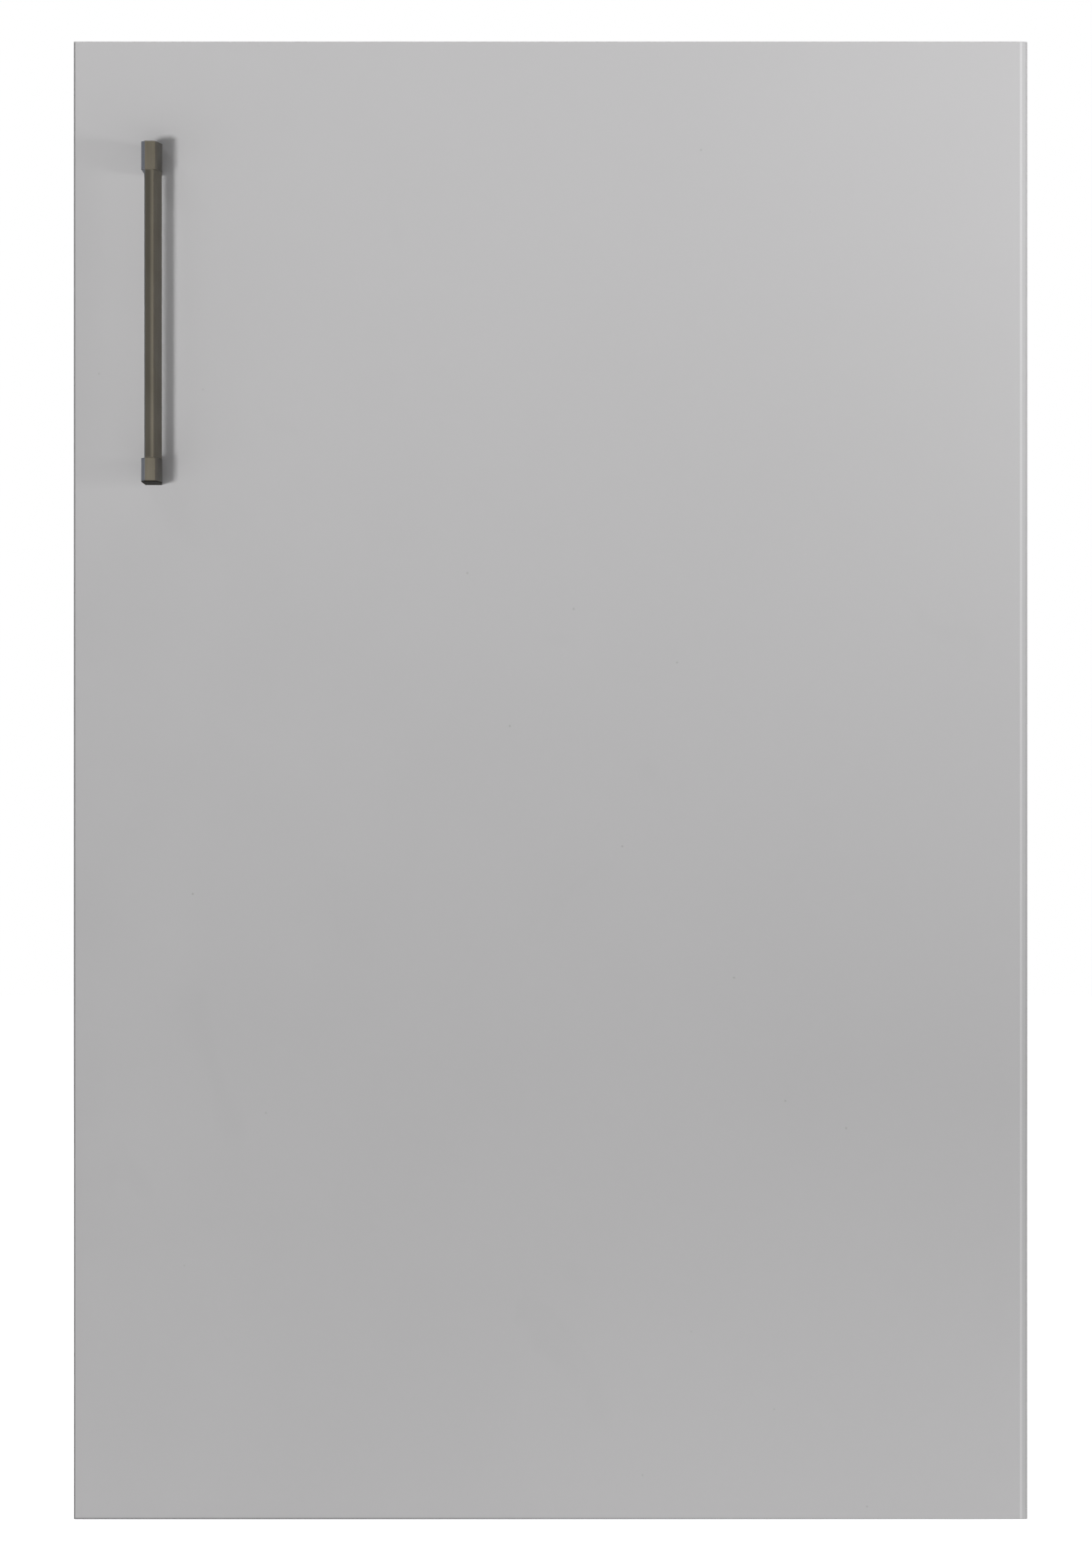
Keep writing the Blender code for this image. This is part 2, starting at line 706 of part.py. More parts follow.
def lamp(finish):
    """A small tubular lamp on its cap, lying across the housing."""
    profile = [(0, -0.030)]
    for step in range(1, 5):
        angle = math.pi / 2 * step / 4
        profile.append((0.008 * math.sin(angle), -0.022 - 0.008 * math.cos(angle)))
    profile += [(0.008, 0.012), (0.006, 0.014), (0.006, 0.030), (0, 0.030)]
    centre = (0, (LENS_FRONT_Y + LENS_BACK_Y) / 2, HOUSING_BOTTOM_Z + 0.020)
    return lathe("lamp", profile, centre, "X", finish, 16)


def thermostat_knob(finish):
    """A round knob with a flat grip bar, on a shaft that goes into the housing."""
    face = HOUSING_FRONT_Y - GAP
    front = face - KNOB_DEPTH
    base = face - 0.004
    profile = [(0, front + 0.005), (KNOB_RADIUS - 0.001, front + 0.005), (KNOB_RADIUS, base)]
    profile += [(KNOB_RADIUS, face), (SHAFT_RADIUS, face), (SHAFT_RADIUS, HOUSING_FRONT_Y + 0.012)]
    profile += [(0, HOUSING_FRONT_Y + 0.012)]
    origin = (KNOB_X, HOUSING_FRONT_Y, KNOB_Z)
    knob = lathe("thermostat_knob", profile, (KNOB_X, 0, KNOB_Z), "Y", finish, 32, origin)
    half = 0.003
    grip_low = (KNOB_X - half, front, KNOB_Z - KNOB_RADIUS + 0.002)
    grip_high = (KNOB_X + half, front + 0.0065, KNOB_Z + KNOB_RADIUS - 0.002)
    return fuse(knob, box("knob_grip", grip_low, grip_high, None))


def light_switch(finish):
    tip = RIDGE_Y + GAP
    end = HOUSING_FRONT_Y + 0.012
    radius = SWITCH_RADIUS
    profile = [(0, tip), (radius - 0.001, tip), (radius, tip + 0.001), (radius, end), (0, end)]
    return lathe(
        "light_switch", profile, (SWITCH_X, 0, SWITCH_Z), "Y", finish, 20, (SWITCH_X, HOUSING_FRONT_Y, SWITCH_Z)
    )


# Machine compartment and condenser


def compressor_tray(finish):
    """A folded steel cross member between the side panels."""
    half = WALL_INNER_X - GAP
    front = MACHINE_Y + GAP
    back = CABINET_BACK_Y - 0.004
    outline = [
        (front, CABINET_BOTTOM_Z),
        (front + TRAY_SHEET, CABINET_BOTTOM_Z),
        (front + TRAY_SHEET, TRAY_Z),
        (back - TRAY_SHEET, TRAY_Z),
        (back - TRAY_SHEET, CABINET_BOTTOM_Z),
        (back, CABINET_BOTTOM_Z),
        (back, TRAY_Z + TRAY_SHEET),
        (front, TRAY_Z + TRAY_SHEET),
    ]
    return prism("compressor_tray", outline, "X", -half, half, finish)


def compressor(finish):
    """A welded steel shell with a seam flange, on a foot plate with four ears."""
    width = COMPRESSOR_RADIUS
    base = COMPRESSOR_BASE_Z + 0.004
    height = COMPRESSOR_HEIGHT
    profile = [(0, base), (width * 0.72, base), (width * 0.93, base + 0.016), (width, base + 0.040)]
    profile += [(width, base + height * 0.52), (width * 1.04, base + height * 0.52)]
    profile += [(width * 1.04, base + height * 0.55), (width, base + height * 0.55)]
    dome = height * 0.45
    for step in range(1, 6):
        angle = math.pi / 2 * step / 6
        profile.append((width * math.cos(angle), base + height * 0.55 + dome * math.sin(angle)))
    profile.append((0, base + height))
    shell = lathe(
        "compressor", profile, (COMPRESSOR_X, COMPRESSOR_Y, 0), "Z", finish, 24, stretch=(COMPRESSOR_STRETCH, 1.0)
    )
    foot = box(
        "compressor_foot",
        (COMPRESSOR_X - GROMMET_X - 0.012, COMPRESSOR_Y - GROMMET_Y - 0.012, COMPRESSOR_BASE_Z),
        (COMPRESSOR_X + GROMMET_X + 0.012, COMPRESSOR_Y + GROMMET_Y + 0.012, COMPRESSOR_BASE_Z + 0.006),
        None,
    )
    fuse(shell, foot)
    for index, (x, y) in enumerate(grommet_places()):
        hole = rod_cutter(f"foot_bore_{index}", (x, y, 0), "Z", 0.0062, COMPRESSOR_BASE_Z - 0.01, COMPRESSOR_BASE_Z + 0.02, 16)
        cut(shell, hole)
    return shell


def grommet_places():
    return [
        (COMPRESSOR_X + side * GROMMET_X, COMPRESSOR_Y + end * GROMMET_Y) for side in (-1, 1) for end in (-1, 1)
    ]


def grommet(name, x, y, finish):
    """A rubber mount: a wide foot under the compressor's ear and a neck through it."""
    low = TRAY_Z + TRAY_SHEET + GAP
    neck = COMPRESSOR_BASE_Z - GAP
    top = COMPRESSOR_BASE_Z + 0.012
    profile = [(0.003, low), (0.011, low), (0.011, neck), (0.0058, neck), (0.0058, top), (0.003, top)]
    return ring_lathe(name, profile, (x, y, 0), "Z", finish, 16)


def relay_cover(finish):
    side = COMPRESSOR_X + COMPRESSOR_HALF_X * 1.04
    low = (side + 0.002, COMPRESSOR_Y - 0.024, COMPRESSOR_BASE_Z + 0.034)
    return bevel(box("relay_cover", low, (side + 0.030, COMPRESSOR_Y + 0.024, low[2] + 0.052), finish), 0.004)


def serpentine():
    """The condenser's route: up from the drier, then level passes joined by half circles."""
    radius = CONDENSER_PITCH / 2
    drier_x, drier_y = DRIER_PLACE
    way_z = DRIER_BASE_Z + DRIER_LENGTH + 0.022
    rise = [
        (drier_x, drier_y, DRIER_BASE_Z + DRIER_LENGTH + GAP),
        (drier_x, drier_y, way_z),
        (drier_x, CONDENSER_TUBE_Y, way_z),
        (RISE_X, CONDENSER_TUBE_Y, way_z),
        (RISE_X, CONDENSER_TUBE_Y, CONDENSER_LOW_Z),
        (-CONDENSER_HALF + 0.010, CONDENSER_TUBE_Y, CONDENSER_LOW_Z),
    ]
    route = rounded_route(rise, LINE_BEND)[:-1]
    for step in range(CONDENSER_PASSES):
        z = CONDENSER_LOW_Z + step * CONDENSER_PITCH
        side = 1 if step % 2 == 0 else -1
        if step > 0:
            route.append((-side * CONDENSER_HALF, CONDENSER_TUBE_Y, z))
        route.append((side * CONDENSER_HALF, CONDENSER_TUBE_Y, z))
        if step == CONDENSER_PASSES - 1:
            break
        for turn in range(1, 6):
            angle = math.pi * turn / 6
            x = side * (CONDENSER_HALF + radius * math.sin(angle))
            route.append((x, CONDENSER_TUBE_Y, z + radius * (1 - math.cos(angle))))
    return route


def condenser_wires(finish):
    """Upright wires welded to two level rods, as one flat lattice."""
    low_z = CONDENSER_LOW_Z - 0.010
    high_z = CONDENSER_LOW_Z + (CONDENSER_PASSES - 1) * CONDENSER_PITCH + 0.010
    rods = [CONDENSER_LOW_Z, high_z - 0.010]
    levels = [low_z]
    for rod in rods:
        levels += [rod - WIRE_WIDTH / 2, rod + WIRE_WIDTH / 2]
    levels.append(high_z)
    columns = []
    for index in range(WIRE_COUNT):
        x = -CONDENSER_HALF + 2 * CONDENSER_HALF * index / (WIRE_COUNT - 1)
        columns += [x - WIRE_WIDTH / 2, x + WIRE_WIDTH / 2]
    bm = bmesh.new()
    grids = []
    for y in (WIRE_FRONT_Y, CONDENSER_BACK_Y):
        grids.append([[bm.verts.new((x, y, z)) for z in levels] for x in columns])

    def filled(i, j):
        inside = 0 <= i < len(columns) - 1 and 0 <= j < len(levels) - 1
        return inside and (i % 2 == 0 or j in (1, 3))

    for i in range(len(columns) - 1):
        for j in range(len(levels) - 1):
            if not filled(i, j):
                continue
            for grid in grids:
                bm.faces.new((grid[i][j], grid[i + 1][j], grid[i + 1][j + 1], grid[i][j + 1]))
            edges = {
                (-1, 0): ((i, j), (i, j + 1)),
                (1, 0): ((i + 1, j), (i + 1, j + 1)),
                (0, -1): ((i, j), (i + 1, j)),
                (0, 1): ((i, j + 1), (i + 1, j + 1)),
            }
            for (right, up), ((a, b), (c, d)) in edges.items():
                if not filled(i + right, j + up):
                    bm.faces.new((grids[0][a][b], grids[0][c][d], grids[1][c][d], grids[1][a][b]))
    loose = [vert for vert in bm.verts if not vert.link_faces]
    bmesh.ops.delete(bm, geom=loose, context="VERTS")
    return add_object("condenser_wires", bm, finish)


def condenser_strip(name, side, finish):
    """An angle strip that stands the condenser off the back panel."""
    web = side * 0.203
    web_outer = side * 0.2045
    flange = side * 0.218
    back_panel_y = CABINET_BACK_Y + GAP + SHEET + GAP
    outline = [
        (web, back_panel_y),
        (flange, back_panel_y),
        (flange, back_panel_y + 0.0015),
        (web_outer, back_panel_y + 0.0015),
        (web_outer, CONDENSER_TUBE_Y + 0.003),
        (web, CONDENSER_TUBE_Y + 0.003),
    ]
    top = CONDENSER_LOW_Z + (CONDENSER_PASSES - 1) * CONDENSER_PITCH + 0.006
    return prism(name, outline, "Z", CONDENSER_LOW_Z - 0.006, top, finish)


def filter_drier(finish):
    """A spun copper canister with drawn-in ends."""
    length = DRIER_LENGTH
    profile = [(0, 0), (0.003, 0), (0.003, 0.010), (0.008, 0.022), (0.008, length - 0.022)]
    profile += [(0.003, length - 0.010), (0.003, length), (0, length)]
    return lathe("filter_drier", profile, (*DRIER_PLACE, DRIER_BASE_Z), "Z", finish, 20)


def discharge_line(finish):
    """Hot gas: out of the compressor's side, up behind the back panel and into the condenser's top end."""
    start_x = COMPRESSOR_X - COMPRESSOR_HALF_X - 0.004
    start_y = COMPRESSOR_Y + 0.012
    z = COMPRESSOR_BASE_Z + 0.070
    top_z = CONDENSER_LOW_Z + (CONDENSER_PASSES - 1) * CONDENSER_PITCH
    corners = [
        (start_x, start_y, z),
        (DISCHARGE_X, start_y, z),
        (DISCHARGE_X, DISCHARGE_Y, z),
        (DISCHARGE_X, DISCHARGE_Y, top_z),
        (DISCHARGE_X, CONDENSER_TUBE_Y, top_z),
        (-CONDENSER_HALF - GAP, CONDENSER_TUBE_Y, top_z),
    ]
    return tube("discharge_line", rounded_route(corners, LINE_BEND), TUBE_RADIUS, finish)


def suction_corners():
    """Cold gas: down inside the back wall's foam from the evaporator, then across to the compressor."""
    evaporator_y = evaporator_box()[1][1] + GAP
    z = COMPRESSOR_BASE_Z + 0.050
    start_x = COMPRESSOR_X - COMPRESSOR_HALF_X - 0.002
    return [
        (start_x, COMPRESSOR_Y - 0.020, z),
        (SUCTION_X, COMPRESSOR_Y - 0.020, z),
        (SUCTION_X, SUCTION_Y, z),
        (SUCTION_X, SUCTION_Y, SUCTION_TOP_Z),
        (SUCTION_X, evaporator_y, SUCTION_TOP_Z),
    ]


def suction_line(finish):
    return tube("suction_line", rounded_route(suction_corners(), LINE_BEND), SUCTION_RADIUS, finish)


def evaporation_tray(finish):
    """The shallow tray over the compressor that the drain runs into."""
    low = (-0.050, COMPRESSOR_Y - 0.050, COMPRESSOR_BASE_Z + COMPRESSOR_HEIGHT + 0.006)
    high = (0.110, COMPRESSOR_Y + 0.055, low[2] + 0.016)
    return open_tray("evaporation_tray", low, high, 0.0015, finish, (0.0, 0.0, 0.0))


def cord_gland(finish):
    """A flanged bush in the tray's rear edge, where a mains lead would come out."""
    back = CABINET_BACK_Y - 0.004
    centre = (-0.205, 0, TRAY_Z + TRAY_SHEET + 0.014)
    profile = [(0.004, back - 0.012), (0.012, back - 0.012), (0.012, back), (0.008, back + 0.006), (0.004, back + 0.006)]
    return ring_lathe("cord_gland", profile, centre, "Y", finish, 20)


# Door


def door_skin(finish):
    """The folded steel front: rounded long edges, side walls and rear lips, open at the top and bottom."""
    half = DOOR_WIDTH / 2
    radius = 0.003
    lip = 0.012
    outer = []
    inner = []
    for step in range(7):
        angle = math.pi / 2 * step / 6
        outer.append((half - radius + radius * math.sin(angle), DOOR_FRONT_Y + radius - radius * math.cos(angle)))
        small = radius - SHEET
        inner.append((half - radius + small * math.sin(angle), DOOR_FRONT_Y + radius - small * math.cos(angle)))
    right = outer + [(half, DOOR_REAR_Y), (half - lip, DOOR_REAR_Y), (half - lip, DOOR_REAR_Y - SHEET)]
    right += [(half - SHEET, DOOR_REAR_Y - SHEET)]
    right += inner[::-1]
    left = [(-x, y) for x, y in reversed(right)]
    outline = right + left
    skin = prism("door_skin", outline, "Z", DOOR_BOTTOM_Z, DOOR_TOP_Z, finish, (HINGE_X, HINGE_Y, 0))
    for end, low, high in (
        ("top", DOOR_TOP_Z - POCKET_HEIGHT, DOOR_TOP_Z + OVERSHOOT),
        ("bottom", DOOR_BOTTOM_Z - OVERSHOOT, DOOR_BOTTOM_Z + POCKET_HEIGHT),
    ):
        cut(skin, box(f"skin_pocket_{end}", (0.206, DOOR_FRONT_Y + 0.005, low), (0.260, DOOR_REAR_Y + 0.005, high), None))
    for index, z in enumerate(handle_screw_heights()):
        cut(skin, rod_cutter(f"skin_hole_{index}", (handle_middle_x(), 0, z), "Y", 0.0025, DOOR_FRONT_Y - 0.01, DOOR_FRONT_Y + 0.01, 16))
    return skin


def door_cap(name, low, high, pocket_low, pocket_high, finish):
    """A moulded end cap inside the skin, cut away around the hinge, with a boss for the bush."""
    half = DOOR_WIDTH / 2 - SHEET - GAP
    front = DOOR_FRONT_Y + SHEET + GAP
    back = DOOR_REAR_Y - SHEET - GAP
    corner = 0.0035
    outline = [(-half + corner, front), (half - corner, front), (half, front + corner), (half, back)]
    outline += [(-half, back), (-half, front + corner)]
    cap = prism(name, outline, "Z", low, high, finish, (HINGE_X, HINGE_Y, 0))
    pocket = box(f"{name}_pocket", (0.208, front + 0.003, pocket_low), (0.260, back + 0.01, pocket_high), None)
    bore = rod_cutter(f"{name}_bore", (HINGE_X, HINGE_Y, 0), "Z", 0.0065 + GAP, low - 0.01, high + 0.01, 24)
    return cut(cap, pocket, bore)


def hinge_bush(name, low, high, finish):
    inner = HINGE_PIN_RADIUS + HINGE_CLEARANCE
    profile = [(inner, low), (0.0065, low), (0.0065, high), (inner, high)]
    return ring_lathe(name, profile, (HINGE_X, HINGE_Y, 0), "Z", finish, 24, (HINGE_X, HINGE_Y, low))


def door_foam(low, high, finish):
    half = DOOR_WIDTH / 2 - SHEET - GAP
    front = DOOR_FRONT_Y + SHEET + GAP
    back = DOOR_REAR_Y - SHEET - GAP
    corner = 0.0035
    outline = [(-half + corner, front), (half - corner, front), (half, front + corner), (half, back)]
    outline += [(-half, back), (-half, front + corner)]
    foam = prism("door_foam", outline, "Z", low, high, finish, (HINGE_X, HINGE_Y, 0))
    for index, z in enumerate(handle_screw_heights()):
        cut(foam, rod_cutter(f"foam_hole_{index}", (handle_middle_x(), 0, z), "Y", 0.005, front - 0.01, front + 0.012, 16))
    for index, (start, end) in enumerate(((low - 0.01, low + 0.020), (high - 0.020, high + 0.01))):
        cut(foam, rod_cutter(f"foam_bush_{index}", (HINGE_X, HINGE_Y, 0), "Z", 0.0072, start, end, 24))
    return foam


def door_liner(finish):
    """The moulded inner face: a flat flange with a hollow rectangular ridge that carries the rack lugs."""
    half = 0.240
    low_z = DOOR_BOTTOM_Z + POCKET_HEIGHT + 0.006
    high_z = DOOR_TOP_Z - POCKET_HEIGHT - 0.006
    plate_front = DOOR_REAR_Y + GAP
    liner = box("door_liner", (-half, plate_front, low_z), (half, DOOR_LINER_Y, high_z), finish, (HINGE_X, HINGE_Y, 0))
    ridge = box_ring(
        "ridge_outer",
        (-RIDGE_OUTER_X, RIDGE_BOTTOM_Z),
        (RIDGE_OUTER_X, RIDGE_TOP_Z),
        (-RIDGE_INNER_X, RIDGE_BOTTOM_Z + RIDGE_WIDTH),
        (RIDGE_INNER_X, RIDGE_TOP_Z - RIDGE_WIDTH),
        plate_front + LINER_WALL / 2,
        RIDGE_Y,
        None,
    )
    wall = LINER_WALL
    hollow = box_ring(
        "ridge_hollow",
        (-RIDGE_OUTER_X + wall, RIDGE_BOTTOM_Z + wall),
        (RIDGE_OUTER_X - wall, RIDGE_TOP_Z - wall),
        (-RIDGE_INNER_X - wall, RIDGE_BOTTOM_Z + RIDGE_WIDTH - wall),
        (RIDGE_INNER_X + wall, RIDGE_TOP_Z - RIDGE_WIDTH + wall),
        plate_front - OVERSHOOT,
        RIDGE_Y - wall,
        None,
    )
    fuse(liner, ridge)
    for side in (-1, 1):
        for name, floor in RACK_FLOORS.items():
            outer = side * (RIDGE_INNER_X + wall / 2)
            inner = side * (RACK_HALF + 0.0023)
            low = (min(outer, inner), LUG_Y, floor + HOOK_Z)
            high = (max(outer, inner), LUG_Y + LUG_DEPTH, floor + HOOK_Z + LUG_HEIGHT)
            fuse(liner, box(f"lug_{name}_{side}", low, high, None))
    return cut(liner, hollow)


def door_gasket(finish):
    width = GASKET_WIDTH
    return box_ring(
        "door_gasket",
        (-GASKET_X, GASKET_BOTTOM_Z),
        (GASKET_X, GASKET_TOP_Z),
        (-GASKET_X + width, GASKET_BOTTOM_Z + width),
        (GASKET_X - width, GASKET_TOP_Z - width),
        DOOR_LINER_Y + GAP,
        CABINET_FRONT_Y - GAP,
        finish,
    )


def door_rack(name, floor, height, finish):
    """An open moulded tray with a saddle at each end that sits over a lug of the door liner."""
    low = (-RACK_HALF, RACK_BACK_Y, floor)
    high = (RACK_HALF, RACK_FRONT_Y, floor + height)
    rack = open_tray(name, low, high, RACK_WALL, finish, (0, RACK_BACK_Y, floor))
    lug_top = floor + HOOK_Z + LUG_HEIGHT
    cheek = 0.003
    outline = [
        (LUG_Y - GAP - cheek, lug_top - 0.010),
        (LUG_Y - GAP, lug_top - 0.010),
        (LUG_Y - GAP, lug_top + GAP),
        (LUG_Y + LUG_DEPTH + GAP, lug_top + GAP),
        (LUG_Y + LUG_DEPTH + GAP, lug_top - 0.010),
        (LUG_Y + LUG_DEPTH + GAP + cheek, lug_top - 0.010),
        (LUG_Y + LUG_DEPTH + GAP + cheek, lug_top + 0.006),
        (LUG_Y - GAP - cheek, lug_top + 0.006),
    ]
    for side in (-1, 1):
        inner = side * (RACK_HALF - RACK_WALL / 2)
        outer = side * (RIDGE_INNER_X - 0.0015)
        fuse(rack, prism(f"{name}_saddle_{side}", outline, "X", min(inner, outer), max(inner, outer), None))
    return rack


def handle_middle_x():
    return (HANDLE_LEFT_X + HANDLE_RIGHT_X) / 2


def handle_screw_heights():
    return (HANDLE_TOP_Z - HANDLE_SCREW_INSET, HANDLE_TOP_Z - HANDLE_LENGTH + HANDLE_SCREW_INSET)


def handle_section(points):
    """Points of a level section, given as (x, distance from the door), in the door's own depth."""
    return [(x, DOOR_FRONT_Y - out) for x, out in points]


def door_handle(finish):
    """A slim cast handle: an inclined blade between two faceted legs that are a little wider on the left."""
    top = HANDLE_TOP_Z
    bottom = top - HANDLE_LENGTH
    out = HANDLE_PROJECTION
    blade = handle_section(
        [
            (HANDLE_BAR_LEFT_X, out - 0.0029),
            (HANDLE_BAR_LEFT_X + 0.0014, out - 0.0003),
            (HANDLE_FRONT_RIGHT_X - 0.0008, out - 0.0003),
            (HANDLE_BLADE_RIGHT_X - 0.0004, out - HANDLE_BLADE_DEPTH + 0.0013),
            (HANDLE_BLADE_RIGHT_X - 0.0024, out - HANDLE_BLADE_DEPTH + 0.0004),
            (HANDLE_BAR_LEFT_X + 0.0030, out - 0.0043),
        ]
    )
    low, high = bottom + HANDLE_LEG / 2, top - HANDLE_LEG / 2
    bar = prism("door_handle", blade, "Z", low, high, finish, (HINGE_X, HINGE_Y, 0))
    leg_section = handle_section(
        [
            (HANDLE_LEFT_X, GAP),
            (HANDLE_LEFT_X, out - 0.0036),
            (HANDLE_BAR_LEFT_X, out),
            (HANDLE_FRONT_RIGHT_X, out),
            (HANDLE_BLADE_RIGHT_X, out - HANDLE_BLADE_DEPTH),
            (HANDLE_RIGHT_X, GAP),
        ]
    )
    step = HANDLE_BAR_LEFT_X - HANDLE_LEFT_X
    past = 0.0003
    for name, end, inner, way in (("upper", top, top - HANDLE_LEG, -1), ("lower", bottom, bottom + HANDLE_LEG, 1)):
        tip = inner + way * step
        leg = prism(f"handle_leg_{name}", leg_section, "Z", min(end, tip), max(end, tip), None)
        wedge = [
            (HANDLE_LEFT_X - step + past, inner - way * step),
            (HANDLE_BAR_LEFT_X + step + past, tip + way * step),
            (HANDLE_LEFT_X - step + past, tip + way * step),
        ]
        cut(leg, prism(f"handle_wedge_{name}", wedge, "Y", HANDLE_FRONT_Y - OVERSHOOT, DOOR_FRONT_Y + OVERSHOOT, None))
        fuse(bar, leg)
    back = DOOR_FRONT_Y - GAP
    for index, z in enumerate(handle_screw_heights()):
        cut(bar, rod_cutter(f"handle_bore_{index}", (handle_middle_x(), 0, z), "Y", 0.0023, back - 0.016, back + 0.01, 16))
    return bar


def handle_screw(name, z, finish):
    """A pan-head screw, driven from inside the skin into the handle's leg."""
    skin_back = DOOR_FRONT_Y + SHEET + GAP
    tip = DOOR_FRONT_Y - 0.012
    profile = [(0, tip), (0.0012, tip), (0.0020, tip + 0.002), (0.0020, skin_back)]
    profile += [(0.0040, skin_back), (0.0040, skin_back + 0.0015), (0.0028, skin_back + 0.0026), (0, skin_back + 0.0028)]
    return lathe(name, profile, (handle_middle_x(), 0, z), "Y", finish, 16)


def build_cabinet():
    grey_sheet = material("cabinet_sheet", (0.46, 0.47, 0.48), 0.40, 0.0)
    galvanised = material("galvanised_steel", (0.55, 0.56, 0.57), 0.45, 0.9)
    white_plastic = material("white_plastic", (0.86, 0.87, 0.87), 0.30)
    foam_yellow = material("foam", (0.78, 0.66, 0.38), 0.90)
    bright_metal = material("zinc_plate", (0.62, 0.62, 0.60), 0.35, 1.0)
    aluminium = material("aluminium", (0.75, 0.76, 0.77), 0.35, 1.0)
    dark_plastic = material("dark_plastic", (0.04, 0.04, 0.045), 0.50)
    side_panel("side_panel_left", -1, grey_sheet)
    side_panel("side_panel_right", 1, grey_sheet)
    top_panel(grey_sheet)
    back_panel(galvanised)
    base_plate(galvanised)
    front_rail(grey_sheet)
    cabinet_liner(white_plastic)
    cabinet_foam(foam_yellow)
    evaporator_plate(aluminium)
    drain_tube(dark_plastic)
    top_plate = DOOR_TOP_Z - HINGE_PLATE_INSET - HINGE_PLATE
    bottom_plate = DOOR_BOTTOM_Z + HINGE_PLATE_INSET
    hinge_bracket("hinge_bracket_top", top_plate, GASKET_TOP_Z + 0.002, top_plate + HINGE_PLATE, bright_metal)
    hinge_bracket("hinge_bracket_bottom", bottom_plate, bottom_plate, GASKET_BOTTOM_Z - 0.002, bright_metal)
    reach = 0.018
    hinge_pin(
        "hinge_pin_top",
        DOOR_TOP_Z - POCKET_HEIGHT - reach,
        top_plate + HINGE_PLATE,
        top_plate + HINGE_PLATE + GAP,
        top_plate + HINGE_PLATE + 0.003,
        bright_metal,
    )
    hinge_pin(
        "hinge_pin_bottom",
        bottom_plate,
        DOOR_BOTTOM_Z + POCKET_HEIGHT + reach,
        bottom_plate - 0.003,
        bottom_plate - GAP,
        bright_metal,
    )
    for name, side in (("left", -1), ("right", 1)):
        levelling_foot(f"front_foot_{name}", side * FOOT_X, FRONT_FOOT_Y, 0.030, dark_plastic)
        levelling_foot(f"rear_foot_{name}", side * FOOT_X, REAR_FOOT_Y, TRAY_Z - GAP, dark_plastic)


def build_furniture():
    glass = material("shelf_glass", (0.80, 0.90, 0.87), 0.05, 0.0, 0.35)
    white_plastic = material("white_trim", (0.86, 0.87, 0.87), 0.30)
    clear_plastic = material("clear_plastic", (0.85, 0.89, 0.91), 0.12, 0.0, 0.45)
    lens = material("lens", (0.92, 0.93, 0.92), 0.25, 0.0, 0.6)
    lamp_glass = material("lamp_glass", (0.95, 0.94, 0.88), 0.20)
    for name, level in SHELF_LEVELS.items():
        shelf(f"shelf_glass_{name}", level, glass)
        shelf_trim(f"shelf_trim_{name}", level, white_plastic)
    shelf("crisper_cover_glass", COVER_Z, glass)
    shelf_trim("crisper_cover_trim", COVER_Z, white_plastic)
    crisper_drawer(clear_plastic)
    control_housing(white_plastic)
    lamp_lens(lens)
    lamp(lamp_glass)
    thermostat_knob(white_plastic)
    light_switch(white_plastic)


def build_machine():
    black_steel = material("black_steel", (0.03, 0.03, 0.03), 0.45, 0.4)
    copper = material("copper", (0.72, 0.42, 0.28), 0.35, 1.0)
    rubber = material("rubber", (0.03, 0.03, 0.03), 0.75)
    galvanised = material("tray_steel", (0.55, 0.56, 0.57), 0.45, 0.9)
    dark_plastic = material("machine_plastic", (0.05, 0.05, 0.055), 0.50)
    compressor_tray(galvanised)
    compressor(black_steel)
    for index, (x, y) in enumerate(grommet_places(), start=1):
        grommet(f"compressor_grommet_{index}", x, y, rubber)
    relay_cover(dark_plastic)
    tube("condenser_tube", serpentine(), TUBE_RADIUS, black_steel)
    condenser_wires(black_steel)
    condenser_strip("condenser_strip_left", -1, black_steel)
    condenser_strip("condenser_strip_right", 1, black_steel)
    filter_drier(copper)
    discharge_line(copper)
    suction_line(copper)
    evaporation_tray(dark_plastic)
    cord_gland(dark_plastic)


